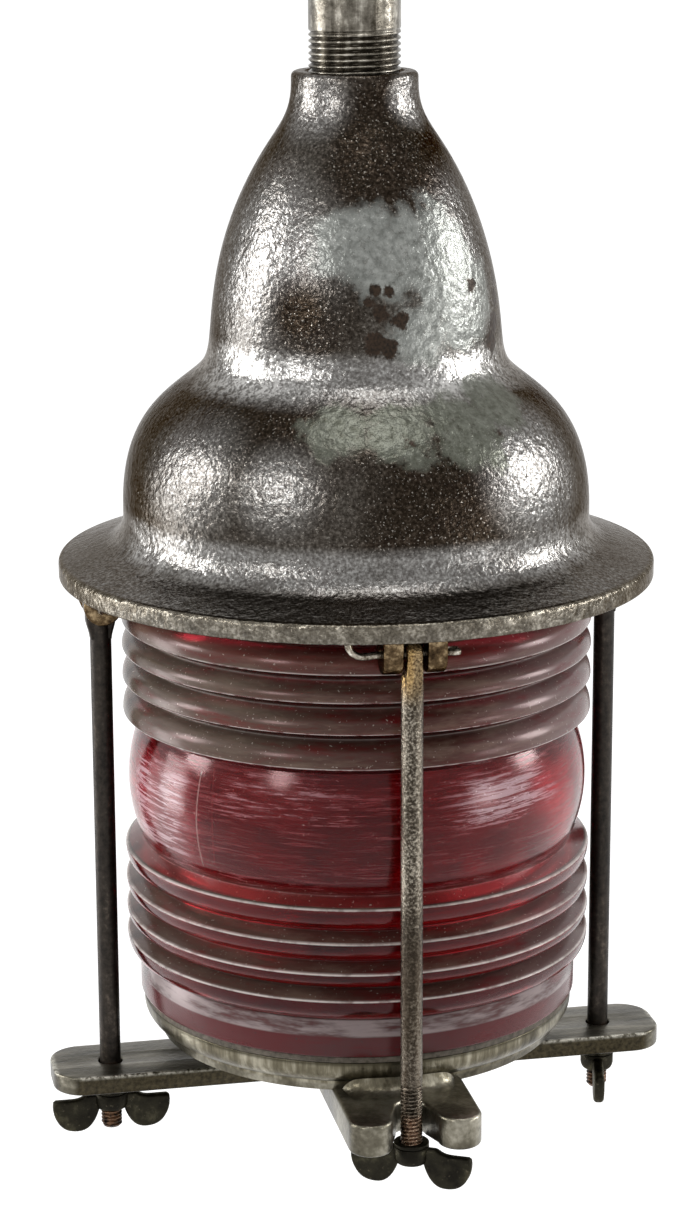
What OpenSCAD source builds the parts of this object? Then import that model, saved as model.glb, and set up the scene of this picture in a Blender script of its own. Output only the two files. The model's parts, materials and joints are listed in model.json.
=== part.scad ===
// Bridge warning light: a ruby drum lens hung from a pipe between an iron bonnet and a base.
// Origin at the top end of the pipe, on the lamp's axis. +Z is up, the cross bar lies along X.

/* [Pipe] */
// Outside diameter of the pipe nipple (1 inch pipe)
pipe_od = 33.4; // [30:0.1:36]
// Bore of the pipe nipple
pipe_bore = 26.6; // [20:0.1:27]
// Length of the pipe nipple
pipe_len = 101.6; // [80:0.1:160]
// Length of pipe screwed into the bonnet's neck
pipe_bite = 17; // [12:0.5:20]
// Pitch of the pipe thread
pipe_pitch = 2.209; // [1.5:0.001:3]
// Turns of pipe thread that show above the neck
pipe_turns = 7; // [3:1:10]

/* [Bonnet] */
// Diameter of the neck
neck_d = 46; // [44:0.5:54]
// Straight length of the neck, from its top down
neck_straight = 4; // [2:0.5:8]
// Depth of the threaded hole in the neck
neck_hole_h = 24; // [20.5:0.5:28]
// Diameter where the neck's flare meets the bell
bell_top_d = 70.2; // [64:0.2:76]
// Drop from the neck's top to that point
bell_top_drop = 30.9; // [28:0.1:36]
// Diameter of the waist between bell and shoulder
waist_d = 109; // [100:0.5:116]
// Drop from the neck's top to the waist
waist_drop = 99.6; // [90:0.2:110]
// Size of the hollow at the waist
waist_fillet = 5.8; // [3:0.2:8]
// Diameter of the shoulder
shoulder_d = 173.4; // [168:0.2:178]
// Height of the bonnet, from the neck's top to the flange's underside
bonnet_h = 184.6; // [176:0.2:196]
// Height of the shoulder's lower edge over the flange's underside
shoulder_foot = 25.4; // [23:0.2:32]
// Wall thickness of the casting
wall = 6; // [4:0.25:7]
// Diameter of the flange
flange_d = 221.6; // [216:0.2:232]
// Thickness of the flange at its rim
flange_t = 7.2; // [6:0.2:9]
// Slope of the flange's top, up towards the shoulder
flange_slope = 17; // [10:1:19]
// Rounding of the flange's upper edge
flange_round = 1.8; // [1:0.2:3]

/* [Lens] */
// Height of the glass
lens_h = 167.8; // [160:0.2:180]
// Diameter of the bore
lens_bore = 146; // [136:0.5:150]
// Diameter of the belt at mid height
belt_d = 172.8; // [168:0.2:178]
// Diameter of the belt where it meets the first ring
belt_end_d = 163; // [158:0.5:167]
// Diameter over the crests of the rings
crest_d = 176; // [172:0.2:184]
// Distance from mid height to the first crest
first_crest = 26.2; // [24:0.1:29]
// Distance from the first crest to the second
ring_pitch = 12.85; // [11:0.05:14]
// How much closer each next crest is
ring_step = 1.3; // [0:0.05:1.6]
// Rings above the belt, and as many below
ring_count = 4; // [3:1:4]
// Height of the flat side of a ring
ring_riser = 3.6; // [2.5:0.1:5]
// Depth of the grooves between the rings
ring_depth = 7; // [4:0.1:8]
// Diameter of the plain rim at each end
rim_d = 166.4; // [162:0.2:170]
// Height of the plain rim
rim_h = 8.8; // [7:0.1:11]
// Depth of the last groove, beside the rim
rim_groove = 1.5; // [0.5:0.1:4]

/* [Seats] */
// How far the glass enters the bonnet's recess
lens_bite = 6.2; // [4:0.1:7]
// Gap around the glass in the recess
seat_clear = 1.5; // [0.5:0.1:3]
// Thickness of the packing rings
gasket_t = 2.5; // [1.5:0.1:4]

/* [Base] */
// Diameter of the base disc under the glass
disc_d = 164; // [158:0.5:170]
// Diameter of the disc's lower edge
disc_foot_d = 153; // [146:0.5:158]
// Thickness of the disc at its edge
disc_t = 9.4; // [8:0.1:12]
// Depth of the dish inside the disc
dish_h = 4; // [2:0.1:5]
// Width of the fork arms
fork_w = 48.5; // [44:0.5:54]
// Thickness of the fork arms
fork_t = 12; // [9:0.5:15]
// Reach of the fork arms, from the lamp's axis
fork_reach = 110.5; // [108:0.5:116]
// Rounding of the prongs' ends
prong_round = 8; // [6:0.25:8.5]
// Width of the fork's slot
slot_w = 10.7; // [9.6:0.1:11.6]
// Drop from the disc's lower edge to the arms' upper face
arm_drop = 2.6; // [1:0.1:5]
// Diameter of the boss in the middle
boss_d = 78; // [60:1:100]

/* [Cross bar] */
// Length of the bar
bar_len = 238; // [224:1:250]
// Width of the bar
bar_w = 33.5; // [28:0.5:40]
// Thickness of the bar
bar_t = 7.3; // [5:0.1:10]
// Corner radius of the bar
bar_round = 12; // [4:0.5:14]
// Diameter of the holes for the side bolts
bar_hole_d = 9; // [8.6:0.1:11]
// Diameter of the bolts that hold the bar
bar_bolt_d = 7.94; // [6:0.01:10]
// Distance between those bolts
bar_bolt_gap = 48; // [40:1:56]

/* [Swing bolts] */
// Radius of the circle that the bolts stand on
bolt_r = 96.5; // [95:0.25:98]
// Diameter of the bolts (5/16 inch)
bolt_d = 7.94; // [7:0.01:8.3]
// Pitch of their thread
bolt_pitch = 1.411; // [1:0.001:1.6]
// Turns of thread on the front and back bolts
bolt_turns = 21; // [14:1:24]
// Turns of thread on the side bolts
side_turns = 18; // [12:1:24]
// How far the front and back bolts stand out of their nuts
bolt_out = 0.2; // [0:0.1:6]
// How far the side bolts stand out of their nuts
side_bolt_out = 7.4; // [2:0.1:12]
// Width of the flattened eye
eye_w = 11; // [9:0.25:12]
// Thickness of the flattened eye
eye_t = 6; // [5:0.1:7.5]
// Length of the eye below the pin
eye_len = 9; // [7:0.25:12]

/* [Hinge ears] */
// Drop from the flange's underside to the pins
pin_drop = 7; // [6.6:0.1:9]
// Width of an ear, outwards
ear_w = 14; // [12:0.25:16]
// Thickness of an ear
ear_t = 7; // [5:0.25:9]
// Gap between a pair of ears
ear_gap = 8.5; // [8:0.1:10]
// Diameter of the split pins
pin_d = 2.9; // [2.4:0.1:3.2]
// Length of a split pin beyond the ears
pin_tail = 5.5; // [3:0.5:10]
// Outside diameter of a split pin's eye
pin_eye_d = 7.5; // [6:0.25:9]

/* [Wing nuts] */
// Diameter of the hub
hub_d = 12.8; // [12.4:0.1:14]
// Height of the hub
hub_h = 6.6; // [5.6:0.1:8]
// Half of the span over the wings
wing_span = 23; // [20:0.25:26]
// Thickness of the wings
wing_t = 4; // [3:0.1:5]
// Drop of the wings below the bearing face
wing_drop = 15.4; // [13:0.2:17]
// Drop of the wings' upper edge below the bearing face
wing_sag = 2.6; // [1.6:0.1:3.6]
// Angles at which the front, back, left and right nuts stand
nut_turn = [-28, 24, 0, 77.5];
// Slack under the front and back forks, which lets those bolts swing
nut_slack = 0.7; // [0.65:0.05:0.95]
// Thickness of the washers under the forks
washer_t = 1.4; // [1:0.1:2]
// Height of the spacer rings under the bar
spacer_h = 5.4; // [3:0.1:7]
// Bore of the washers and spacer rings
washer_bore = 8.8; // [8.6:0.1:9.4]

/* [Lamp] */
// Height of the filament over the lamp's contact
light_centre = 79; // [72:0.5:88]
// Diameter of the bulb
bulb_d = 60; // [50:0.5:66]
// Length of the bulb with its cap
bulb_len = 110; // [104:0.5:120]
// Diameter of the bulb's neck
bulb_neck_d = 31; // [29:0.5:34]
// Thickness of the bulb's glass
bulb_wall = 0.8; // [0.5:0.1:1.2]
// Diameter of the screw cap
cap_d = 26; // [25.4:0.1:26.6]
// Length of the screw cap
cap_h = 24; // [22:0.5:27]
// Diameter of the porcelain lampholder
socket_d = 42; // [38:0.5:48]
// Height of the porcelain above the contact
socket_head = 22; // [18:0.5:26]
// Width of the strap that carries the lampholder
strap_w = 18; // [14:0.5:20]
// Thickness of the strap
strap_t = 2.5; // [2:0.1:4]
// Distance between the strap's screws
strap_gap = 132; // [124:1:138]
// Diameter of the bosses that carry the strap
strap_boss_d = 12; // [10:0.5:14]
// Diameter of the strap's screws
screw_d = 4.8; // [4:0.1:5.5]
// Diameter of an insulated lead
lead_d = 3.2; // [2.4:0.1:3.6]
// Distance between the leads in the pipe
lead_gap = 8; // [5:0.25:10]

/* [Hidden] */
$fn = 96;
over = 1;
fit = 0.05;
thread_gap = 0.04;
nut_seat = 0.05;

// Levels, from the pipe down
neck_z = -(pipe_len - pipe_bite);
waist_z = neck_z - waist_drop;
flange_z = neck_z - bonnet_h;
seat_z = flange_z + lens_bite + gasket_t;
lens_top = flange_z + lens_bite;
lens_mid = lens_top - lens_h / 2;
lens_end = lens_top - lens_h;
disc_z = lens_end - gasket_t;
disc_low = disc_z - disc_t;
arm_z = disc_low - arm_drop;
bar_z = arm_z - fork_t;
pin_z = flange_z - pin_drop;
washer_z = bar_z - nut_slack - washer_t;
spacer_z = bar_z - bar_t - spacer_h;
fork_nut_z = washer_z - nut_seat;
bar_nut_z = spacer_z - nut_seat;
bolt_len = pin_z - fork_nut_z + hub_h + bolt_out;
side_bolt_len = pin_z - bar_nut_z + hub_h + side_bolt_out;

// Levels of the lamp and its holder
contact_z = lens_mid + light_centre;
socket_top = contact_z + socket_head;
strap_z = socket_top + strap_t;

// Angles about the axis of the front, back, left and right bolts
bolt_at = [-90, 90, 180, 0];

// Cubic curve between a and d, drawn towards b and c, without its first point
function curve(a, b, c, d, n) = [for (i = [1:n]) let (t = i / n, u = 1 - t)
    u*u*u*a + 3*u*u*t*b + 3*u*t*t*c + t*t*t*d];
// Arc about c from angle a0 to a1, both ends included
function arc(c, r, a0, a1, n) = [for (i = [0:n]) let (a = a0 + (a1 - a0) * i / n)
    [c.x + r * cos(a), c.y + r * sin(a)]];
// Unit vector a degrees off straight down, leaning outwards
function lean(a) = [sin(a), -cos(a)];

// Slopes and pulls of the bonnet's curves
bell_slope = 30.4;
waist_slope = 10.8;
apron_slope = 50.2;
flare_pull = [11.5, 13];
bell_pull = [37, 9.2];
shoulder_pull = [14.3, 33.6];

// Bonnet's curve from neck to shoulder, w inside its outer face
function bonnet_curve(w) = let (
    a = [neck_d / 2 - w, neck_z - neck_straight],
    b = [bell_top_d / 2 - w, neck_z - bell_top_drop - w / 4],
    m = [waist_d / 2 - w, waist_z - w / 2],
    p = m + waist_fillet * (lean(waist_slope) + lean(apron_slope)),
    s = [shoulder_d / 2 - w, flange_z + shoulder_foot])
    concat([a],
        curve(a, a - [0, flare_pull.x], b - flare_pull.y * lean(bell_slope), b, 8),
        curve(b, b + bell_pull.x * lean(bell_slope), m - bell_pull.y * lean(waist_slope), m, 14),
        curve(m, m + 0.8 * waist_fillet * lean(waist_slope),
            p - 0.8 * waist_fillet * lean(apron_slope), p, 5),
        curve(p, p + shoulder_pull.x * lean(apron_slope), s + [0, shoulder_pull.y - w / 2], s, 14));

neck_round = 2;
mouth_bevel = 1.4;
foot_fillet = 11.5;
land_h = 8;

module bonnet_outline() {
    shoulder_r = shoulder_d / 2;
    // The flange's top is one straight line from the rim's rounding to the fillet at the shoulder's foot
    rim = [flange_d / 2 - flange_round, flange_z + flange_t - flange_round];
    rim_end = rim + flange_round * [sin(flange_slope), cos(flange_slope)];
    fillet_x = shoulder_r + foot_fillet;
    fillet_end_x = fillet_x - foot_fillet * sin(flange_slope);
    fillet_z = rim_end.y + (rim_end.x - fillet_end_x) * tan(flange_slope) + foot_fillet * cos(flange_slope);
    polygon(concat(
        [[0, neck_z]],
        arc([neck_d / 2 - neck_round, neck_z - neck_round], neck_round, 90, 0, 4),
        bonnet_curve(0),
        arc([fillet_x, fillet_z], foot_fillet, 180, 270 - flange_slope, 8),
        arc(rim, flange_round, 90 - flange_slope, 0, 4),
        [[flange_d / 2, flange_z], [0, flange_z]]));
}

module bonnet_hollow() {
    hole_r = pipe_od / 2 + thread_gap;
    land_r = lens_bore / 2 + 1;
    inner = bonnet_curve(wall);
    last = inner[len(inner) - 1];
    below = [for (p = inner) if (p.y < neck_z - neck_hole_h && p.x > hole_r) p];
    polygon(concat(
        [[0, neck_z + over], [hole_r + mouth_bevel + over, neck_z + over],
         [hole_r, neck_z - mouth_bevel], [hole_r, neck_z - neck_hole_h]],
        below,
        [[last.x, seat_z + land_h + wall], [land_r, seat_z + land_h], [land_r, seat_z],
         [rim_d / 2 + seat_clear, seat_z], [rim_d / 2 + seat_clear, flange_z - over],
         [0, flange_z - over]]));
}

// One hinge ear, flat across Y, with its pin's hole
module ear() {
    rotate([90, 0, 0]) translate([0, 0, -ear_t / 2]) difference() {
        linear_extrude(ear_t) {
            circle(d = ear_w);
            translate([-ear_w / 2, 0]) square([ear_w, pin_drop + over]);
        }
        translate([0, 0, -over]) cylinder(h = ear_t + 2 * over, d = pin_d + 2 * fit);
    }
}

// Boss inside the bonnet that the lamp strap is screwed to
module strap_boss() {
    boss_top = flange_z + shoulder_foot + shoulder_pull.y + wall / 2;
    translate([0, 0, strap_z]) cylinder(h = boss_top - strap_z, d = strap_boss_d);
}

module bonnet() {
    color("#4b443c") difference() {
        union() {
            difference() {
                rotate_extrude() bonnet_outline();
                rotate_extrude() bonnet_hollow();
            }
            for (a = bolt_at) rotate([0, 0, a]) for (side = [-1, 1])
                translate([bolt_r, side * (ear_gap + ear_t) / 2, pin_z]) ear();
            for (side = [-1, 1]) translate([side * strap_gap / 2, 0, 0]) strap_boss();
        }
        for (side = [-1, 1]) translate([side * strap_gap / 2, 0, strap_z - over])
            cylinder(h = screw_bite + 2 * over, d = screw_d + 2 * fit);
    }
}

// Outline of a threaded end: crests of radius r below z, going down
function thread_teeth(r, z, pitch, turns) = let (depth = 0.6 * pitch, flat = pitch / 8)
    [for (i = [0:turns - 1]) each [
        [r, z - i * pitch - flat], [r - depth, z - (i + 0.5) * pitch],
        [r, z - (i + 1) * pitch + flat]]];

pipe_bevel = 1.2;

module pipe_nipple() {
    r = pipe_od / 2;
    thread_top = neck_z + pipe_turns * pipe_pitch;
    color("#8c8781") rotate_extrude() polygon(concat(
        [[pipe_bore / 2, 0], [r, 0]],
        thread_teeth(r, thread_top, pipe_pitch, pipe_turns),
        [[r, -pipe_len + pipe_bevel], [r - pipe_bevel, -pipe_len], [pipe_bore / 2, -pipe_len]]));
}

gasket_edge = 1;

module ring_pad(z, outer) {
    translate([0, 0, z]) difference() {
        cylinder(h = gasket_t, r = outer);
        translate([0, 0, -over]) cylinder(h = gasket_t + 2 * over, r = lens_bore / 2 + gasket_edge / 2);
    }
}

module top_gasket() {
    color("#2b2a28") ring_pad(lens_top, rim_d / 2);
}

module bottom_gasket() {
    color("#2b2a28") ring_pad(disc_z, disc_d / 2 - gasket_edge);
}

// Height of crest k over the lens's mid height
function crest_h(k) = first_crest + k * ring_pitch - ring_step * k * (k - 1) / 2;
rim_foot = lens_h / 2 - rim_h;
valley_r = crest_d / 2 - ring_depth;
last_groove_h = 5.6;
rim_bevel = 0.8;

// Rounded face of ring k, from its crest to the next groove
function ring_face(k) = let (
    low = crest_h(k),
    high = k < ring_count - 1 ? crest_h(k + 1) - ring_riser : rim_foot - last_groove_h,
    r = crest_d / 2,
    end_r = k < ring_count - 1 ? valley_r : rim_d / 2 - rim_groove,
    h = high - low)
    concat([[r, low]],
        curve([r, low], [r, low + 0.62 * h], [r - 0.4 * (r - end_r), low + 0.86 * h],
            [end_r, high], 7));

// Upper half of the glass's outer face, from mid height up
function lens_side() = let (
    belt_h = first_crest - ring_riser,
    drop = (belt_d - belt_end_d) / 2,
    belt_r = (belt_h * belt_h + drop * drop) / (2 * drop),
    belt_a = asin(belt_h / belt_r))
    concat(arc([belt_d / 2 - belt_r, 0], belt_r, 0, belt_a, 8),
        [for (k = [0:ring_count - 1]) each ring_face(k)],
        [[rim_d / 2, rim_foot], [rim_d / 2, lens_h / 2 - rim_bevel],
         [rim_d / 2 - rim_bevel, lens_h / 2]]);

module lens() {
    side = lens_side();
    n = len(side);
    lower = [for (i = [n - 1:-1:1]) [side[i].x, -side[i].y]];
    bore_r = lens_bore / 2;
    color("#8f1420") translate([0, 0, lens_mid]) rotate_extrude()
        polygon(concat([[bore_r, -lens_h / 2]], lower, side, [[bore_r, lens_h / 2]]));
}

spigot_h = 3;
spigot_t = 4;
spigot_clear = 1;
arm_fillet = 2.5;
flare_start = 2;

// Outline of one fork arm along +X, from the lamp's axis to the prongs' ends
module fork_outline() {
    round_x = fork_reach - prong_round;
    round_y = fork_w / 2 - prong_round;
    throat_x = bolt_r - flare_start;
    difference() {
        union() {
            translate([0, -fork_w / 2]) square([round_x, fork_w]);
            for (side = [-1, 1]) translate([round_x, side * round_y]) circle(r = prong_round);
        }
        translate([throat_x, 0]) circle(d = slot_w);
        polygon([[throat_x, -slot_w / 2], [round_x, -round_y + prong_round],
            [fork_reach + over, -round_y + prong_round], [fork_reach + over, round_y - prong_round],
            [round_x, round_y - prong_round], [throat_x, slot_w / 2]]);
    }
}

// Both arms, with the step that joins them to the disc
module fork_arms() {
    foot_r = disc_foot_d / 2 - 0.5;
    for (a = [-90, 90]) rotate([0, 0, a]) translate([0, 0, bar_z]) linear_extrude(fork_t)
        fork_outline();
    intersection() {
        rotate_extrude() polygon(concat([[0, disc_low + over], [foot_r, disc_low + over]],
            arc([foot_r + arm_fillet, arm_z + arm_fillet], arm_fillet, 180, 270, 5),
            [[foot_r + arm_fillet, arm_z - over], [0, arm_z - over]]));
        translate([-fork_w / 2, -disc_d / 2, bar_z]) cube([fork_w, disc_d, disc_z - bar_z]);
    }
}

module base_plate() {
    spigot_r = lens_bore / 2 - spigot_clear;
    floor_z = disc_z - dish_h;
    color("#6e6a55") difference() {
        union() {
            rotate_extrude() polygon(concat(
                [[0, floor_z], [spigot_r - spigot_t, floor_z],
                 [spigot_r - spigot_t, lens_end + spigot_h], [spigot_r, lens_end + spigot_h],
                 [spigot_r, disc_z], [disc_d / 2, disc_z], [disc_d / 2, disc_z - disc_t * 0.3]],
                curve([disc_d / 2, disc_z - disc_t * 0.3],
                    [disc_d / 2, disc_z - disc_t * 0.7], [disc_foot_d / 2 + 1.5, disc_low + 0.5],
                    [disc_foot_d / 2, disc_low], 5),
                [[0, disc_low]]));
            translate([0, 0, bar_z]) cylinder(h = disc_low - bar_z + over, d = boss_d);
            fork_arms();
        }
        for (side = [-1, 1]) translate([side * bar_bolt_gap / 2, 0, bar_z - over])
            cylinder(h = bar_bolt_bite + over, d = bar_bolt_d + 2 * fit);
    }
}

bar_bolt_bite = 11;
bar_head_h = 5.3;

module cross_bar() {
    half = bar_len / 2 - bar_round;
    side_w = bar_w / 2 - bar_round;
    color("#4d4941") translate([0, 0, bar_z - bar_t]) difference() {
        linear_extrude(bar_t) {
            square([bar_len, bar_w - 2 * bar_round], center = true);
            square([bar_len - 2 * bar_round, bar_w], center = true);
            for (x = [-half, half], y = [-side_w, side_w]) translate([x, y]) circle(r = bar_round);
        }
        for (side = [-1, 1]) {
            translate([side * bolt_r, 0, -over]) cylinder(h = bar_t + 2 * over, d = bar_hole_d);
            translate([side * bar_bolt_gap / 2, 0, -over])
                cylinder(h = bar_t + 2 * over, d = bar_bolt_d + 2 * fit);
        }
    }
}

module bar_bolts() {
    color("#55504a") for (side = [-1, 1])
        translate([side * bar_bolt_gap / 2, 0, bar_z - bar_t]) {
            translate([0, 0, -bar_head_h]) cylinder(h = bar_head_h, d = 1.8 * bar_bolt_d, $fn = 6);
            cylinder(h = bar_t + bar_bolt_bite - over, d = bar_bolt_d);
        }
}

thread_bevel = 0.8;

// A swing bolt with its pin at the origin, its eye flat across Y
module eyebolt(length, turns) {
    r = bolt_d / 2;
    thread_top = -length + thread_bevel + turns * bolt_pitch;
    neck = eye_len + 5;
    difference() {
        union() {
            rotate([90, 0, 0]) translate([0, 0, -eye_t / 2]) linear_extrude(eye_t) {
                circle(d = eye_w);
                polygon([[-eye_w / 2, 0], [-eye_w / 2, -eye_len + 2], [-r, -neck],
                         [r, -neck], [eye_w / 2, -eye_len + 2], [eye_w / 2, 0]]);
            }
            rotate_extrude() polygon(concat(
                [[0, -eye_len + 3], [eye_t / 2 - 0.4, -eye_len + 3], [r, -eye_len]],
                thread_teeth(r, thread_top, bolt_pitch, turns),
                [[r - thread_bevel, -length], [0, -length]]));
        }
        rotate([90, 0, 0]) translate([0, 0, -eye_t])
            cylinder(h = 2 * eye_t, d = pin_d + 2 * fit);
    }
}

// Places a thing that belongs to bolt k: its hinge at the bolt circle, +X outwards
module at_bolt(k, z) {
    rotate([0, 0, bolt_at[k]]) translate([bolt_r, 0, z]) children();
}

module eyebolt_front() { color("#8a8578") at_bolt(0, pin_z) eyebolt(bolt_len, bolt_turns); }
module eyebolt_back() { color("#8a8578") at_bolt(1, pin_z) eyebolt(bolt_len, bolt_turns); }
module eyebolt_left() { color("#2f2a25") at_bolt(2, pin_z) eyebolt(side_bolt_len, side_turns); }
module eyebolt_right() { color("#2f2a25") at_bolt(3, pin_z) eyebolt(side_bolt_len, side_turns); }

// A split pin along Y: round eye on the -Y side, straight end on the other
module split_pin() {
    half = ear_gap / 2 + ear_t;
    wire = pin_d / 2;
    eye_r = pin_eye_d / 2 - wire / 2;
    rotate([-90, 0, 0]) translate([0, 0, -half - 1]) cylinder(h = 2 * half + 1 + pin_tail, d = pin_d);
    translate([0, -half - eye_r - 0.5, 0]) rotate([0, 90, 0]) rotate_extrude()
        translate([eye_r, 0]) circle(d = wire, $fn = 16);
}

module split_pin_front() { color("#b9b5ac") at_bolt(0, pin_z) split_pin(); }
module split_pin_back() { color("#b9b5ac") at_bolt(1, pin_z) split_pin(); }
module split_pin_left() { color("#b9b5ac") at_bolt(2, pin_z) split_pin(); }
module split_pin_right() { color("#b9b5ac") at_bolt(3, pin_z) split_pin(); }

// Ring under a nut's bearing face, its lower face at the origin
module nut_ring(h) {
    difference() {
        cylinder(h = h, d = hub_d);
        translate([0, 0, -over]) cylinder(h = h + 2 * over, d = washer_bore);
    }
}

module washer_front() { color("#3c382f") at_bolt(0, washer_z) nut_ring(washer_t); }
module washer_back() { color("#3c382f") at_bolt(1, washer_z) nut_ring(washer_t); }
module spacer_left() { color("#3c382f") at_bolt(2, spacer_z) nut_ring(spacer_h); }
module spacer_right() { color("#3c382f") at_bolt(3, spacer_z) nut_ring(spacer_h); }

wing_lead = 0.6;

// Outline of the wing on the +X side, with the nut's bearing face at height 0
function wing_outline() = let (
    root = hub_d / 2,
    low = [0.57 * wing_span, -wing_drop],
    heel = [root - 1.8, -hub_h + 0.4])
    concat([[0, -wing_lead], [root + 2.5, -wing_lead]],
        curve([root + 2.5, -wing_lead], [root + 4.5, -wing_lead - 0.4],
            [root + 4.5, -wing_sag], [root + 9, -wing_sag], 5),
        [[wing_span - 1.6, -wing_sag], [wing_span - 0.6, -wing_sag - 0.7]],
        curve([wing_span, -wing_sag - 3.5], [wing_span - 0.8, -wing_sag - 6.5],
            [low.x + 6, -wing_drop], low, 8),
        curve(low, low - [4.5, 0], heel - [-1.6, 5.5], heel, 7),
        [[0, heel.y]]);

// Wing nut with its bearing face at the origin, wings along X
module wing_nut() {
    difference() {
        union() {
            rotate_extrude() polygon([[0, 0], [hub_d / 2, 0], [hub_d / 2, -hub_h * 0.6],
                [hub_d / 2 - 0.5, -hub_h * 0.8], [hub_d / 2 - 1.4, -hub_h], [0, -hub_h]]);
            rotate([90, 0, 0]) translate([0, 0, -wing_t / 2]) linear_extrude(wing_t)
                for (side = [0, 1]) mirror([side, 0]) polygon(wing_outline());
        }
        translate([0, 0, -hub_h - over]) cylinder(h = hub_h + 2 * over, r = bolt_d / 2 + thread_gap);
    }
}

module nut_at(k, z) {
    at_bolt(k, z) rotate([0, 0, nut_turn[k] - bolt_at[k]]) wing_nut();
}

module wing_nut_front() { color("#2c2a1f") nut_at(0, fork_nut_z); }
module wing_nut_back() { color("#2c2a1f") nut_at(1, fork_nut_z); }
module wing_nut_left() { color("#2c2a1f") nut_at(2, bar_nut_z); }
module wing_nut_right() { color("#2c2a1f") nut_at(3, bar_nut_z); }

screw_bite = 12;
screw_head_d = 9;
screw_head_h = 3;
socket_screw_x = 13;
socket_screw_d = 3.6;
terminal_y = 14.5;
terminal_d = 6;
shell_t = 0.6;
shell_gap = 0.25;
contact_t = 2;
porcelain_round = 3;

module lamp_strap() {
    half = strap_gap / 2;
    color("#77736b") translate([0, 0, socket_top]) difference() {
        linear_extrude(strap_t) {
            square([strap_gap, strap_w], center = true);
            for (side = [-1, 1]) translate([side * half, 0]) circle(d = strap_w);
        }
        for (side = [-1, 1]) {
            translate([side * half, 0, -over])
                cylinder(h = strap_t + 2 * over, d = screw_d + 2 * fit);
            translate([side * socket_screw_x, 0, -over])
                cylinder(h = strap_t + 2 * over, d = socket_screw_d + 2 * fit);
        }
    }
}

module strap_screws() {
    color("#a9a294") for (side = [-1, 1]) translate([side * strap_gap / 2, 0, socket_top]) {
        translate([0, 0, -screw_head_h]) cylinder(h = screw_head_h, d = screw_head_d);
        cylinder(h = strap_t + screw_bite, d = screw_d);
    }
}

module socket_body() {
    shell_r = cap_d / 2 + shell_gap + shell_t;
    skirt_z = contact_z - cap_h;
    body_r = socket_d / 2;
    color("#e9e4d8") difference() {
        rotate_extrude() polygon(concat(
            [[0, contact_z + contact_t], [shell_r + fit, contact_z + contact_t],
             [shell_r + fit, skirt_z]],
            arc([body_r - porcelain_round, skirt_z + porcelain_round], porcelain_round, -90, 0, 4),
            arc([body_r - porcelain_round, socket_top - porcelain_round], porcelain_round, 0, 90, 4),
            [[0, socket_top]]));
        for (side = [-1, 1]) {
            translate([side * socket_screw_x, 0, socket_top - 9])
                cylinder(h = 10, d = socket_screw_d + 2 * fit);
            translate([0, side * terminal_y, socket_top - 6])
                cylinder(h = 7, d = terminal_d / 2 + 2 * fit);
        }
    }
}

module socket_shell() {
    inner = cap_d / 2 + shell_gap;
    color("#b08d3c") translate([0, 0, contact_z - cap_h + 1]) difference() {
        cylinder(h = cap_h - 1 + contact_t, r = inner + shell_t);
        translate([0, 0, -over]) cylinder(h = cap_h + contact_t + over, r = inner);
    }
}

module socket_contact() {
    color("#b08d3c") translate([0, 0, contact_z]) cylinder(h = contact_t, r = 5);
}

module socket_screws() {
    color("#b08d3c") for (side = [-1, 1]) translate([side * socket_screw_x, 0, strap_z]) {
        cylinder(h = 2.2, d = 1.9 * socket_screw_d);
        translate([0, 0, -strap_t - 8.5]) cylinder(h = strap_t + 9, d = socket_screw_d);
    }
}

module terminal_screws() {
    color("#b08d3c") for (side = [-1, 1]) translate([0, side * terminal_y, socket_top]) {
        cylinder(h = 2.4, d = terminal_d);
        translate([0, 0, -5.5]) cylinder(h = 6, d = terminal_d / 2);
    }
}

// Route of a lead in the plane x = 0, from its terminal up into the pipe
lead_end = -6;
lead_start = socket_top + 2.4;
lead_rise = 6;
lead_sweep = 34;
lead_entry = 12;
lead_drop = 48;
lead_path = concat(
    [[terminal_y, lead_start], [terminal_y, lead_start + lead_rise / 2]],
    curve([terminal_y, lead_start + lead_rise], [terminal_y, lead_start + lead_rise + lead_sweep],
        [lead_gap / 2, -pipe_len - lead_entry - lead_drop], [lead_gap / 2, -pipe_len - lead_entry], 12),
    [[lead_gap / 2, -pipe_len / 2], [lead_gap / 2, lead_end]]);

// Tube of n sides along a path in the YZ plane, one ring of points at each point of the path
module flat_tube(path, d, n = 10) {
    last = len(path) - 1;
    function way(i) = let (a = path[max(i - 1, 0)], b = path[min(i + 1, last)]) (b - a) / norm(b - a);
    rings = [for (i = [0:last]) let (w = way(i)) for (j = [0:n - 1]) let (t = 360 * j / n)
        [d / 2 * cos(t), path[i].x - d / 2 * sin(t) * w.y, path[i].y + d / 2 * sin(t) * w.x]];
    sides = [for (i = [0:last - 1], j = [0:n - 1]) let (k = (j + 1) % n)
        [i * n + j, i * n + k, (i + 1) * n + k, (i + 1) * n + j]];
    polyhedron(rings, concat(sides, [[for (j = [n - 1:-1:0]) j]], [[for (j = [0:n - 1]) last * n + j]]));
}

module lead_live() { color("#3a3330") flat_tube(lead_path, lead_d); }
module lead_neutral() { color("#8d8678") rotate([0, 0, 180]) flat_tube(lead_path, lead_d); }

// Bulb, hanging cap up
bulb_low = contact_z - bulb_len;
bulb_mid = bulb_low + bulb_d / 2;
cap_low = contact_z - cap_h;
cap_tip_h = 3;
neck_in = cap_d / 2 - 1;

function bulb_curve(w) = let (
    r = bulb_d / 2 - w,
    n = [bulb_neck_d / 2 - w, cap_low - 12],
    s = [r * cos(32), bulb_mid + r * sin(32)])
    concat(arc([0, bulb_mid], r, -90, 32, 16),
        curve(s, s + 12 * [-sin(32), cos(32)], n - [0, 10], n, 6),
        curve(n, n + [0, 6], [neck_in - w, cap_low - 2], [neck_in - w, cap_low + 1], 4));

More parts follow.
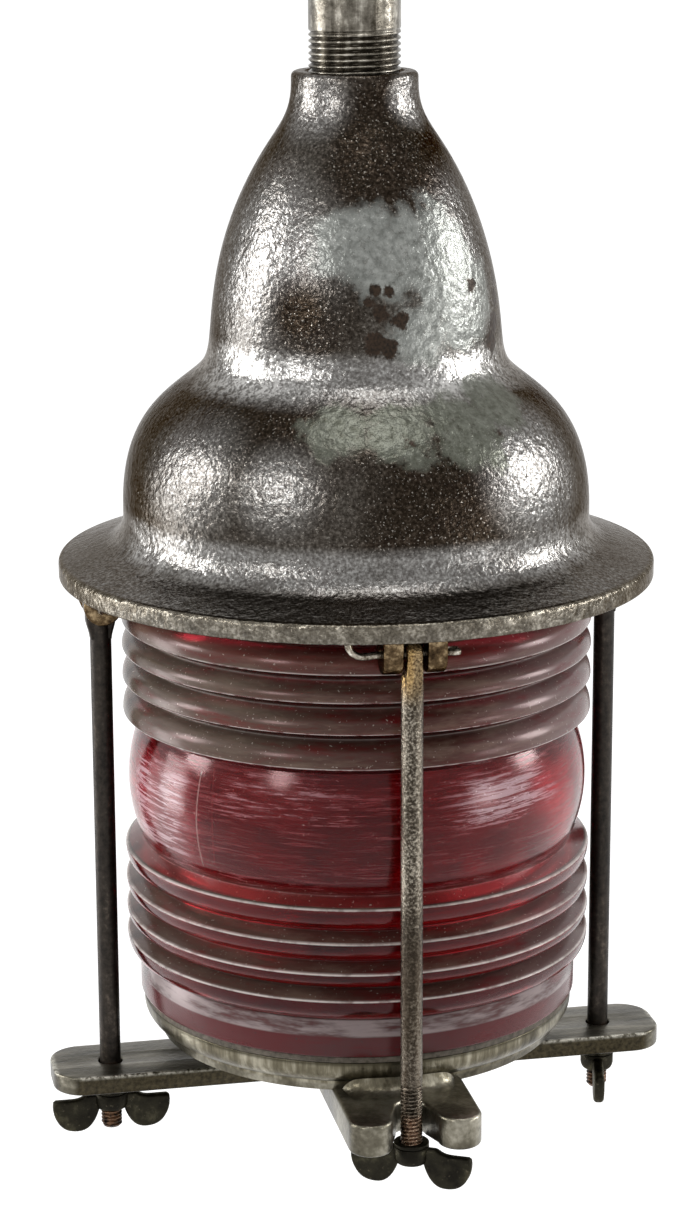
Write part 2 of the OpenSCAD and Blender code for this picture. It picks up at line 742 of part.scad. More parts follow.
module bulb_glass() {
    outer = bulb_curve(0);
    inner = bulb_curve(bulb_wall);
    n = len(inner);
    color("#dfe6e8") rotate_extrude() polygon(concat(outer, [for (i = [n - 1:-1:0]) inner[i]]));
}

module bulb_cap() {
    r = cap_d / 2;
    color("#c9a95a") rotate_extrude() polygon(concat(
        [[0, contact_z], [4, contact_z], [5, contact_z - cap_tip_h], [r - 1.5, contact_z - cap_tip_h - 1]],
        [for (i = [0:5]) each let (z = contact_z - 5 - 2.5 * i) [[r, z], [r - 0.8, z - 1.25]]],
        [[r, contact_z - 20.5], [r, cap_low + 1.2], [neck_in + 0.3, cap_low + 1.2],
         [neck_in + 0.3, cap_low + 5], [0, cap_low + 5]]));
}

stem_top = cap_low + 5;
filament_r = 12;
support_z = lens_mid - 1;
support_gap = 0.3;

module bulb_stem() {
    color("#cfd8da") {
        translate([0, 0, support_z + 22]) cylinder(h = stem_top - support_z - 22, r1 = 2.5, r2 = 6);
        translate([0, 0, support_z + 4]) cylinder(h = 19, d = 3.4);
        for (a = [20, 160, 90, 270]) rotate([0, 0, a]) translate([0, 0, support_z + 12])
            rotate([0, 130, 0]) cylinder(h = filament_r * 1.28 - support_gap, d = 0.8, $fn = 16);
    }
}

module bulb_filament() {
    color("#9a9a9a") translate([0, 0, support_z + 2]) difference() {
        rotate_extrude() translate([filament_r, 0]) circle(d = 1, $fn = 16);
        translate([0, -filament_r * 2, -2]) rotate([0, 0, 60]) cube([filament_r, filament_r, 4]);
    }
}

pipe_nipple();
bonnet();
top_gasket();
lens();
bottom_gasket();
base_plate();
cross_bar();
bar_bolts();
eyebolt_front();
eyebolt_back();
eyebolt_left();
eyebolt_right();
split_pin_front();
split_pin_back();
split_pin_left();
split_pin_right();
washer_front();
washer_back();
spacer_left();
spacer_right();
wing_nut_front();
wing_nut_back();
wing_nut_left();
wing_nut_right();
lamp_strap();
strap_screws();
socket_body();
socket_shell();
socket_contact();
socket_screws();
terminal_screws();
lead_live();
lead_neutral();
bulb_glass();
bulb_cap();
bulb_stem();
bulb_filament();
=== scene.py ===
"""Bridge warning light: the looks of the lantern, built around its packed construction model.

Every new piece is a surface given by a formula on a grid, in millimetres, in the frame of the
construction model: origin at the top end of the pipe, Z up, the cross bar along X.
"""
import json
import math

import bpy
import numpy as np
from mathutils import Matrix, Vector
from mathutils.geometry import tessellate_polygon


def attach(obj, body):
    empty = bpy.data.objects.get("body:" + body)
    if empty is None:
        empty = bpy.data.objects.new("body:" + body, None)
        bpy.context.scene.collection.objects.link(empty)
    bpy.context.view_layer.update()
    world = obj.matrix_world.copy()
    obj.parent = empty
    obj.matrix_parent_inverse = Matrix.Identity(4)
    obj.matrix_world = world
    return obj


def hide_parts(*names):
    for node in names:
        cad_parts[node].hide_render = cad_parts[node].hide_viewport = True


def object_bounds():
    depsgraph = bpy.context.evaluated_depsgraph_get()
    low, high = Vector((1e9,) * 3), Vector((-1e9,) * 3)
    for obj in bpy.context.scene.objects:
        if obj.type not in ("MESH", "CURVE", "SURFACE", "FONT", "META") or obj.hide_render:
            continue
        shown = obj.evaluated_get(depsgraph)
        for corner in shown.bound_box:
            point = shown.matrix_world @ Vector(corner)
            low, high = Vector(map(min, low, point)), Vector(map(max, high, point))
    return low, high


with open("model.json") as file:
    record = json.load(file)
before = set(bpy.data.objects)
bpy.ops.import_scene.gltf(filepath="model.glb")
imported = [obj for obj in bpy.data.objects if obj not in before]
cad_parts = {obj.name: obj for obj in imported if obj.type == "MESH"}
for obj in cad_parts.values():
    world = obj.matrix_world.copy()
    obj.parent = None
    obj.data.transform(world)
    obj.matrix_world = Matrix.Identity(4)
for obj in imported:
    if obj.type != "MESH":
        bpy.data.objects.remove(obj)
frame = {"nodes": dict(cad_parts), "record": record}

bl_info = {
    "name": "Bridge Warning Light",
    "version": (1, 0, 0),
    "blender": (4, 5, 0),
    "location": "3D View > Sidebar > Lantern",
    "description": "Builds the shown pieces of a hanging bridge warning light, their finishes and the studio",
    "category": "Object",
}

MM = 0.001
CAD_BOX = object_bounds()

# Levels and radii of the construction model, in mm
NECK, WAIST, FLANGE, SEAT = -84.6, -184.2, -269.2, -260.5
PIN, LENS_TOP, LENS_MID, LENS_END = -276.2, -263.0, -346.9, -430.8
DISC, DISC_LOW, ARM, BAR, BAR_LOW = -433.3, -442.7, -445.3, -457.3, -464.6
WASHER, SPACER, BOSS_LOW, BOSS_TOP = -459.4, -470.0, -243.4, -207.2
BOLT_R, BOLT_RADIUS, BOLT_PITCH, PIN_HOLE = 96.5, 3.97, 1.411, 1.5
PIPE_R, PIPE_BORE_R, PIPE_LEN, PIPE_PITCH = 16.7, 13.3, 101.6, 2.209
HUB_R, HUB_H, BAR_BOLT_X, HEX_CORNER = 6.4, 6.6, 24, 7.146
SIDES = {"front": -90.0, "back": 90.0, "left": 180.0, "right": 0.0}
NUT_TURN = {"front": -28.0, "back": 24.0, "left": 0.0, "right": 77.5}


# Curves

def bezier(a, b, c, d, n):
    """n points of the cubic from a to d drawn towards b and c, without a itself:
    u^3 a + 3 u^2 t b + 3 u t^2 c + t^3 d, with u = 1 - t."""
    a, b, c, d = (np.asarray(p, float) for p in (a, b, c, d))
    t = np.arange(1, n + 1)[:, None] / n
    u = 1 - t
    return u**3 * a + 3 * u * u * t * b + 3 * u * t * t * c + t**3 * d


def arc(centre, radius, start, end, n):
    """n + 1 points of a circle: centre + radius (cos a, sin a), a going evenly from start to end."""
    a = np.radians(np.linspace(start, end, n + 1))
    return np.stack([centre[0] + radius * np.cos(a), centre[1] + radius * np.sin(a)], 1)


def circle(x, radius, n):
    """n points round a circle whose centre is x along the first axis."""
    return arc((x, 0), radius, 0, 360, n)[:-1]


def lean(angle):
    """Unit vector in the (radius, height) plane, angle degrees outwards from straight down."""
    return np.array([math.sin(math.radians(angle)), -math.cos(math.radians(angle))])


def column(radius, heights):
    """Points of one radius at the given heights."""
    return np.stack([np.full(len(heights), radius), heights], 1)


def profile(*parts):
    """One outline out of points and runs of points."""
    return np.concatenate([np.atleast_2d(np.asarray(p, float)) for p in parts])


# Surfaces

def grid_faces(rows, columns, closed_rows=False):
    """Quads of a grid whose point (i, j) has the index i * columns + j; its rows are rings."""
    i = np.arange(rows if closed_rows else rows - 1)[:, None]
    j = np.arange(columns)[None, :]
    i2, j2 = (i + 1) % rows, (j + 1) % columns
    quads = np.stack([i * columns + j, i * columns + j2, i2 * columns + j2, i2 * columns + j], -1)
    return quads.reshape(-1, 4)


class Shape:
    """Closed surfaces, in mm, gathered into one mesh with every face turned outwards."""

    def __init__(self):
        self.points, self.faces, self.flat, self.count = [], [], [], 0

    def add(self, points, quads, triangles=(), flat_triangles=True):
        """Takes one closed surface. Its volume, the sum of a . (b x c) / 6 over its triangles,
        tells which way its faces look; a negative one turns them all round."""
        triangles = np.asarray(triangles, int).reshape(-1, 3)
        halves = np.concatenate([quads[:, :3], quads[:, [0, 2, 3]], triangles])
        a, b, c = (points[halves[:, k]] for k in range(3))
        if np.einsum("ij,ij->i", a, np.cross(b, c)).sum() < 0:
            quads, triangles = quads[:, ::-1], triangles[:, ::-1]
        self.points.append(points)
        self.faces += (quads + self.count).tolist() + (triangles + self.count).tolist()
        self.flat += [False] * len(quads) + [flat_triangles] * len(triangles)
        self.count += len(points)

    def add_rings(self, rings, first, last, flat_ends=True):
        """Takes closed rings, one after the other, shut at either end by triangles to a point."""
        n, m = rings.shape[:2]
        ring = np.arange(m)
        after, end = (ring + 1) % m, (n - 1) * m
        caps = np.concatenate([np.stack([np.full(m, n * m), after, ring], 1),
                               np.stack([np.full(m, n * m + 1), end + ring, end + after], 1)])
        self.add(np.concatenate([rings.reshape(-1, 3), [first, last]]), grid_faces(n, m), caps, flat_ends)

    def build(self, name, sharp=38.0):
        """Makes the object, smooth but for its flat caps and the edges over the sharp angle."""
        mesh = bpy.data.meshes.new(name)
        mesh.from_pydata((np.concatenate(self.points) * MM).tolist(), [], self.faces)
        mesh.shade_smooth()
        mesh.polygons.foreach_set("use_smooth", [not flat for flat in self.flat])
        mesh.set_sharp_from_angle(angle=math.radians(sharp))
        mesh.update()
        piece = bpy.data.objects.new(name, mesh)
        bpy.context.scene.collection.objects.link(piece)
        return piece


def revolve(shape, outline, segments, centre=(0, 0), relief=None, open_ends=False, place=None):
    """Surface of revolution: point (i, j) = (r_i cos a_j, r_i sin a_j, z_i) about a vertical axis
    through centre, a_j = 2 pi j / segments. The outline closes on itself, or with open_ends runs
    from axis to axis, where each end is one point. relief(r, z, a) is added to the radius, and
    place maps the points to where they belong."""
    a = np.arange(segments)[None, :] * 2 * math.pi / segments
    r, z = outline[:, :1] + 0 * a, outline[:, 1:] + 0 * a
    if relief is not None:
        r = r + relief(r, z, a)
    points = np.stack([centre[0] + r * np.cos(a), centre[1] + r * np.sin(a), z], -1)
    if place is not None:
        points = place(points)
    if open_ends:
        shape.add_rings(points[1:-1], points[0].mean(0), points[-1].mean(0), flat_ends=False)
    else:
        shape.add(points.reshape(-1, 3), grid_faces(len(outline), segments, True))


def outward(loop):
    """Unit normals of a closed outline at its corners, to the right of its direction, stretched
    so that a step along them moves both neighbouring edges by that step."""
    before, after = loop - np.roll(loop, 1, 0), np.roll(loop, -1, 0) - loop
    n1, n2 = (np.stack([edge[:, 1], -edge[:, 0]], 1) / np.linalg.norm(edge, axis=1, keepdims=True)
              for edge in (before, after))
    mid = n1 + n2
    mid /= np.linalg.norm(mid, axis=1, keepdims=True)
    return mid / np.maximum((mid * n1).sum(1, keepdims=True), 0.35)


def plate(shape, outline, holes, low, high, rounding, place=None, steps=4):
    """Plate of the given outline and holes between two heights, its edges rounded: ring k of a
    wall is the outline moved inwards by q (1 - sin t) at the height low + q (1 - cos t), with
    q the rounding and t from 0 to 90 degrees, and the same mirrored at the top. The caps are
    the moved outlines, cut into triangles. place maps (x, y, z) points to where they belong."""
    t = np.radians(np.linspace(0, 90, steps + 1))
    inset, rise = rounding * (1 - np.sin(t)), rounding * (1 - np.cos(t))
    insets = np.concatenate([inset, inset[::-1]])[:, None, None]
    heights = np.concatenate([low + rise, high - rise[::-1]])[:, None, None]
    points, quads, first, last, rims, start = [], [], [], [], [], 0
    for k, loop in enumerate((outline, *holes)):
        x, y = loop.T
        if ((x * np.roll(y, -1) - np.roll(x, -1) * y).sum() > 0) != (k == 0):
            loop = loop[::-1]
        n = len(loop)
        rings = loop - insets * outward(loop)
        points.append(np.concatenate([rings, heights + 0 * rings[..., :1]], -1).reshape(-1, 3))
        quads.append(grid_faces(len(heights), n) + start)
        first.append(start + np.arange(n))
        last.append(first[-1] + (len(heights) - 1) * n)
        rims.append([Vector((*p, 0)) for p in rings[0].tolist()])
        start += len(heights) * n
    triangles = np.array(tessellate_polygon(rims))
    corners = np.array([v[:2] for rim in rims for v in rim])
    a, b, c = (corners[triangles[:, k]] for k in range(3))
    turned = (b[:, 0] - a[:, 0]) * (c[:, 1] - a[:, 1]) - (b[:, 1] - a[:, 1]) * (c[:, 0] - a[:, 0]) > 0
    triangles[turned] = triangles[turned][:, ::-1]
    caps = np.concatenate([np.concatenate(first)[triangles], np.concatenate(last)[triangles[:, ::-1]]])
    points = np.concatenate(points)
    shape.add(points if place is None else place(points), np.concatenate(quads), caps)


def sweep(shape, path, section, up):
    """Bar of a closed section along a path: point (i, j) = p_i + s_j,x n_i + s_j,y b_i, where
    n_i is square to the path and to up, and b_i completes the frame. The ends are capped."""
    along = np.gradient(path, axis=0)
    along /= np.linalg.norm(along, axis=1, keepdims=True)
    side = np.cross(along, up)
    side /= np.linalg.norm(side, axis=1, keepdims=True)
    top = np.cross(side, along)
    rings = path[:, None] + section[None, :, :1] * side[:, None] + section[None, :, 1:] * top[:, None]
    shape.add_rings(rings, rings[0].mean(0), rings[-1].mean(0))


def turn_matrix(degrees):
    """Turn about the vertical, for points that are multiplied by it from the left."""
    a = math.radians(degrees)
    return np.array([[math.cos(a), math.sin(a), 0], [-math.sin(a), math.cos(a), 0], [0, 0, 1]])


def at_bolt(name, level):
    """Maps local points to a bolt of the light: local X looks outwards, local Z up."""
    turn = turn_matrix(SIDES[name])
    offset = np.array([BOLT_R, 0, 0]) @ turn + [0, 0, level]
    return lambda points: points @ turn + offset


def upright(points):
    """Lays a plate on edge: its outline's second coordinate becomes height, its thickness Y."""
    return points[..., [0, 2, 1]]


def thread(radius, margin, pitch, depth, top, bottom):
    """Relief of a right-hand thread below the crests of a rod: depth * clip((v - 0.2) / 0.8),
    where v runs 0, 1, 0 over one turn of z / pitch - a / 2 pi. It runs out over one pitch at
    the top and half a pitch at the bottom, and only cuts points within margin of the radius."""
    def relief(r, z, a):
        phase = z / pitch - a / (2 * math.pi)
        v = 1 - np.abs(2 * (phase - np.floor(phase)) - 1)
        fade = np.clip((top - z) / pitch, 0, 1) * np.clip((z - bottom) / (0.5 * pitch), 0, 1)
        return np.where(r > radius - margin, -depth * fade * np.clip((v - 0.2) / 0.8, 0, 1), 0)
    return relief


# Finishes

class Field:
    """A value that varies over a surface: the output of a node. The signs + - * and abs add a
    node that works it out, and a | b is the larger of the two."""

    def __init__(self, finish, socket):
        self.finish, self.socket = finish, socket

    def __add__(self, other):
        return self.finish.math("ADD", self, other)

    def __sub__(self, other):
        return self.finish.math("SUBTRACT", self, other)

    def __rsub__(self, other):
        return self.finish.math("SUBTRACT", other, self)

    def __mul__(self, other):
        return self.finish.math("MULTIPLY", self, other)

    def __or__(self, other):
        return self.finish.math("MAXIMUM", self, other)

    def __abs__(self):
        return self.finish.math("ABSOLUTE", self)

    def clipped(self):
        """The same value, kept between 0 and 1."""
        self.socket.node.use_clamp = True
        return self


class Finish:
    """A procedural material being made. Its methods add nodes and return fields."""

    def __init__(self, name):
        self.material = bpy.data.materials.new(name)
        self.material.use_nodes = True
        self.tree = self.material.node_tree
        self.tree.nodes.clear()
        self.place = self.add("ShaderNodeTexCoord", {}, "Object")
        parts = self.node("ShaderNodeSeparateXYZ")
        self.put(parts.inputs[0], self.place)
        self.x, self.y, self.z = (Field(self, output) for output in parts.outputs)

    def node(self, kind, **settings):
        """Adds a node and sets its options."""
        made = self.tree.nodes.new(kind)
        for key, value in settings.items():
            setattr(made, key, value)
        return made

    def put(self, socket, value):
        """Links a field to a socket, or sets the socket to a number, a vector or a colour."""
        if isinstance(value, Field):
            self.tree.links.new(value.socket, socket)
        elif socket.type == "RGBA":
            socket.default_value = (*value, 1)
        else:
            socket.default_value = value

    def add(self, kind, inputs, output=0, **settings):
        """Adds a node, fills its inputs and returns one of its outputs."""
        made = self.node(kind, **settings)
        for key, value in inputs.items():
            self.put(made.inputs[key], value)
        return Field(self, made.outputs[output])

    def math(self, operation, *values):
        """One operation on one or two values."""
        return self.add("ShaderNodeMath", dict(enumerate(values)), operation=operation)

    def stretch(self, x, y, z):
        """Object coordinates, each times a factor; a small factor draws a pattern out."""
        return self.add("ShaderNodeVectorMath", {0: self.place, 1: (x, y, z)}, operation="MULTIPLY")

    def join(self, x, y, z):
        """Vector out of three values."""
        return self.add("ShaderNodeCombineXYZ", {0: x, 1: y, 2: z})

    def noise(self, scale, detail=3.0, rough=0.55, twist=0.0, place=None):
        """Cloudy pattern between 0 and 1, of so many lumps to the metre."""
        inputs = {"Vector": place or self.place, "Scale": scale, "Detail": detail, "Roughness": rough,
                  "Distortion": twist}
        return self.add("ShaderNodeTexNoise", inputs)

    def cells(self, scale):
        """Distance to the nearest of many scattered points."""
        return self.add("ShaderNodeTexVoronoi", {"Vector": self.place, "Scale": scale}, "Distance")

    def ramp(self, value, *stops, constant=False):
        """Colour that runs through the stops, each a value and its colour or grey."""
        made = self.node("ShaderNodeValToRGB")
        made.color_ramp.interpolation = "CONSTANT" if constant else "LINEAR"
        points = made.color_ramp.elements
        for k, (at, colour) in enumerate(stops):
            point = points[k] if k < 2 else points.new(at)
            point.position = at
            point.color = (*colour, 1) if isinstance(colour, tuple) else (colour, colour, colour, 1)
        self.put(made.inputs[0], value)
        return Field(self, made.outputs[0])

    def span(self, value, low, high, to_low=0.0, to_high=1.0):
        """Soft step: to_low up to low, to_high from high, and an S curve between them."""
        return self.add("ShaderNodeMapRange", dict(enumerate((value, low, high, to_low, to_high))),
                        interpolation_type="SMOOTHSTEP")

    def band(self, value, start, full, full_to, end):
        """1 from full to full_to, and falling softly to 0 at start and end."""
        return self.span(value, start, full) * self.span(value, end, full_to)

    def mix(self, amount, a, b):
        """Colour a where the amount is 0, colour b where it is 1."""
        return self.add("ShaderNodeMix", {0: amount, 6: a, 7: b}, 2, data_type="RGBA")

    def blend(self, amount, a, b):
        """Number a where the amount is 0, number b where it is 1."""
        return self.add("ShaderNodeMix", {0: amount, 2: a, 3: b}, data_type="FLOAT")

    def radius(self):
        """Distance from the light's axis, the square root of x^2 + y^2."""
        return self.math("SQRT", self.x * self.x + self.y * self.y)

    def blob(self, centre, size, edge, ragged=None, amount=0.0):
        """1 within size of a point, falling to 0 over the edge, in mm; ragged moves the rim."""
        distance = self.add("ShaderNodeVectorMath", {0: self.place, 1: [c * MM for c in centre]}, "Value",
                            operation="DISTANCE")
        if ragged is not None:
            distance = distance + (ragged - 0.5) * (amount * MM)
        return self.span(distance, (size + edge) * MM, size * MM)

    def union(self, *masks):
        """The largest of several masks."""
        result = masks[0]
        for mask in masks[1:]:
            result = result | mask
        return result

    def blobs(self, *several):
        """The largest of several blobs."""
        return self.union(*[self.blob(*one) for one in several])

    def bump(self, height, depth, strength=1.0, under=None):
        """Relief of so many mm, on top of the relief given as under."""
        inputs = {"Strength": strength, "Distance": depth * MM, "Height": height}
        if under is not None:
            inputs["Normal"] = under
        return self.add("ShaderNodeBump", inputs)

    def surface(self, **inputs):
        """Ends the material with a Principled shader; names are its sockets, _ for a space."""
        named = {key.replace("_", " "): value for key, value in inputs.items()}
        shader = self.add("ShaderNodeBsdfPrincipled", named)
        self.put(self.node("ShaderNodeOutputMaterial").inputs["Surface"], shader)
        return self.material


def burnished_iron():
    """Cast bonnet: orange-peel skin, dark oxide rubbed to bare iron, with the remains of a pale
    grey-green paint on the front of bell and shoulder, and rust spots in it. Painted highlights lie
    on the bell, neck, shoulder, waist, foot and flange, partly as bare iron; a patch of painted
    shade lies on the bell's left, and the paint on the bell is lightened as a painted highlight."""
    f = Finish("burnished_iron")
    look = bpy.context.scene.lantern
    patchy, grain, peel = f.noise(60, 4, 0.6), f.noise(900, 3, 0.6), f.noise(330, 3, 0.55)
    hammered = f.noise(230, 4, 0.6)
    radius = f.radius()

    # Where the casting is rubbed bare or carries painted highlights and glints, and where it stayed dark as
    # oxide or painted shade
    aside = abs(f.x + 0.008)
    low_flange = f.span(f.z, -0.250, -0.262)
    waist_band = f.band(f.z, -0.199, -0.190, -0.184, -0.177)
    foot_band = f.band(f.z, -0.259, -0.253, -0.246, -0.240)
    # Painted glints: bands of painted highlight in the waist's hollow and at the shoulder's foot
    painted_glints = waist_band * f.span(aside, 0.008, 0.036) | foot_band * f.span(aside, 0.045, 0.085) * 0.6
    painted_glints = painted_glints * f.span(grain * 0.5 + peel * 0.5, 0.42, 0.56, 0.15, 1.0)
    # Painted shade: a dark patch on the left of the bell, which also keeps the rubbed bare iron off it; the
    # other dark places are oxide
    painted_bell_shade = f.blob((-28, -42, -166), 5, 18)
    oxide_and_painted_shade = painted_bell_shade | f.blobs(((8, -36, -118), 13, 26), ((-46, -48, -200), 10, 22),
                                      ((18, -82, -228), 12, 26))
    # Rubbed: bare iron, partly worn and partly painted highlights. The blobs at the front of bell, neck and
    # shoulder, the waist and foot bands and the flange's sides stand where highlights are painted; the two
    # blobs at the back are wear alone
    rubbed = f.union(
        f.blobs(((-44, -28, -150), 14, 32), ((45, -24, -142), 12, 26), ((49, -22, -165), 9, 22),
                ((54, -62, -220), 12, 24), ((17, -16, -94), 5, 9), ((-30, 62, -214), 12, 30),
                ((30, 36, -160), 10, 30)),
        f.blob((-69, -44, -219), 8, 24) * 0.6,
        f.blobs(((-43, -72, -222), 4, 18), ((-18, -15, -96), 6, 12)) * 0.7,
        low_flange * f.span(aside, 0.040, 0.085, 0.28, 0.75), waist_band, foot_band * 0.8)
    rubbed = rubbed * f.span(patchy, 0.25, 0.55, 0.55, 1.0) * (1 - painted_bell_shade)
    # The flange's top is lightened a little as painted light
    flange = low_flange * f.span(radius, 0.094, 0.106)
    rim = f.span(radius, 0.1085, 0.1102) * f.span(f.z, -0.2700, -0.2600, 0.7, 1.0)
    worn = f.noise(12, 2, 0.5, 0.3) * 0.78 + patchy * 0.22
    # Bare where the worn skin shows through, raised where painted highlights lie and lowered at the oxide and
    # the painted shade
    bare = f.span(worn + (rubbed * 0.12 + flange * 0.05 - oxide_and_painted_shade * 0.16), 0.38, 0.64)

    # Iron: dark oxide, worn skin and bare metal
    dark = f.ramp(grain, (0.32, (0.0085, 0.0060, 0.0040)), (0.52, (0.020, 0.0145, 0.0100)),
                  (0.70, (0.058, 0.045, 0.034)))
    dark = f.mix(f.span(f.noise(1250, 2, 0.5), 0.64, 0.70) * 0.6, dark, (0.42, 0.39, 0.35))
    skin = f.ramp(grain, (0.32, (0.026, 0.022, 0.018)), (0.52, (0.070, 0.062, 0.053)),
                  (0.70, (0.145, 0.134, 0.119)))
    metal = f.ramp(grain, (0.34, (0.095, 0.088, 0.082)), (0.52, (0.190, 0.184, 0.176)),
                   (0.68, tuple(look.bare_iron)))
    colour = f.mix(rubbed, f.mix(bare, dark, skin), metal)
    # Painted highlight: a light colour laid on the glints
    colour = f.mix(painted_glints * f.span(patchy, 0.30, 0.58, 0.3, 0.85), colour, (0.60, 0.59, 0.57))

    # Remains of paint, each a ragged blob
    edge = f.noise(85, 6, 0.72)
    paint = f.blobs(*[(place, size, soft, edge, wander) for place, size, soft, wander in (
        ((18, -45, -143), 14, 7, 34), ((28, -41, -160), 16, 7, 32), ((1, -49, -147), 10, 6, 28),
        ((14, -52, -172), 9, 7, 28), ((-12, -46, -141), 8, 8, 30), ((-2, -44, -133), 3, 6, 20),
        ((-20, -66, -205), 8, 7, 32), ((2, -70, -206), 11, 6, 32), ((25, -66, -206), 12, 6, 34),
        ((40, -52, -198), 9, 7, 30))])
    paint = paint * f.span(f.noise(300, 4, 0.7), 0.34, 0.46, 0.62, 1.0)
    tone = f.noise(340, 4, 0.65)
    # The paint on the bell is lighter than lower down: a painted highlight on the bell
    paint_and_bell_highlight = f.mix(f.span(f.z, -0.196, -0.176),
                         f.ramp(tone, (0.35, (0.072, 0.076, 0.058)), (0.65, (0.155, 0.162, 0.135))),
                         f.ramp(tone, (0.35, tuple(look.paint_shade)), (0.65, tuple(look.paint_light))))
    colour = f.mix(paint * 0.88, colour, paint_and_bell_highlight)

    # Rust: single spots in the paint, and fine specks
    ragged = f.noise(380, 3, 0.65)
    spots = f.blobs(*[(place, size, 1.2, ragged, 6.0) for place, size in (
        ((-1.6, -52.2, -165.0), 2.4), ((5.5, -52.3, -167.2), 2.8), ((-3.1, -50.7, -156.6), 1.7),
        ((1.5, -50.9, -157.5), 1.6), ((-5.5, -51.2, -160.5), 1.3), ((34.7, -37.5, -158.2), 2.0),
        ((43.7, -31.5, -179.4), 3.6), ((45.2, -27.5, -173.0), 3.4), ((46.5, -23.0, -165.0), 2.6),
        ((47.5, -21.0, -158.0), 2.2), ((3.0, -72.5, -209.0), 2.8), ((12.0, -71.5, -210.5), 3.2),
        ((22.0, -69.5, -211.5), 2.0), ((37.0, -63.0, -208.0), 1.9), ((-9.0, -70.0, -206.0), 1.6),
        ((-4.0, -54.0, -175.0), 3.6), ((1.0, -54.2, -177.0), 3.0))])
    spots = spots | f.span(f.cells(150), 0.18, 0.10) * f.span(f.noise(38, 2), 0.58, 0.64) * 0.7
    colour = f.mix(spots, colour, f.ramp(grain, (0.3, (0.008, 0.006, 0.0045)), (0.7, (0.045, 0.028, 0.018))))

    # Tan rim of the flange, brown hinge ears
    tan = f.ramp(hammered * 0.6 + grain * 0.4,
                 (0.34, (0.040, 0.033, 0.023)), (0.5, (0.120, 0.105, 0.080)), (0.66, (0.35, 0.32, 0.265)))
    colour = f.mix(rim * 0.85, colour, tan)
    brown = f.ramp(f.noise(260, 4, 0.7), (0.34, (0.024, 0.015, 0.008)), (0.5, (0.085, 0.056, 0.029)),
                   (0.66, (0.29, 0.215, 0.125)))
    colour = f.mix(f.span(f.z, -0.2692, -0.2700), colour, brown)

    matt = paint * 0.5 | spots * 0.8
    relief = f.bump(grain, 0.15, 1.0, f.bump(peel, 0.60, 1.0, f.bump(f.noise(120, 2, 0.5), 0.8, 0.6)))
    return f.surface(Base_Color=colour, Metallic=f.blend(matt, 1.0, 0.3),
                     Roughness=f.blend(matt, 0.20, 0.38) + (grain - 0.5) * 0.12,
                     Normal=f.bump(rim * hammered, 1.2, 0.8, relief), Specular_Tint=(0.45, 0.42, 0.39))


def pipe_steel():
    """Steel pipe, drawn and wiped: streaks along it, darker in the thread's valleys."""
    f = Finish("pipe_steel")
    streaks = f.noise(300, 4, 0.6, place=f.stretch(1, 1, 0.08))
    mottled = f.noise(210, 4, 0.7)
    colour = f.ramp(streaks * 0.5 + mottled * 0.5,
                    (0.36, (0.032, 0.027, 0.019)), (0.51, (0.150, 0.136, 0.112)), (0.64, (0.44, 0.415, 0.36)))
    # Darker in the thread's valleys, towards their root
    valley = f.span(f.radius(), 0.01655, 0.0157)
    return f.surface(Base_Color=f.mix(valley * 0.55, colour, (0.045, 0.036, 0.026)), Metallic=0.95,
                     Roughness=f.blend(mottled, 0.20, 0.36),
                     Normal=f.bump(mottled, 0.30, 0.8, f.bump(streaks, 0.08, 0.5)))


# Heights of the glass's crests, grooves, last ring's end and belt's edge over its middle, in mm,
# and the height at which a material's level is 1
CRESTS, GROOVES, LAST_RING, BELT_EDGE = (26.2, 39.05, 50.6, 60.85), (35.45, 47.0, 57.25), 69.5, 22.6
LENS_SCALE = 84


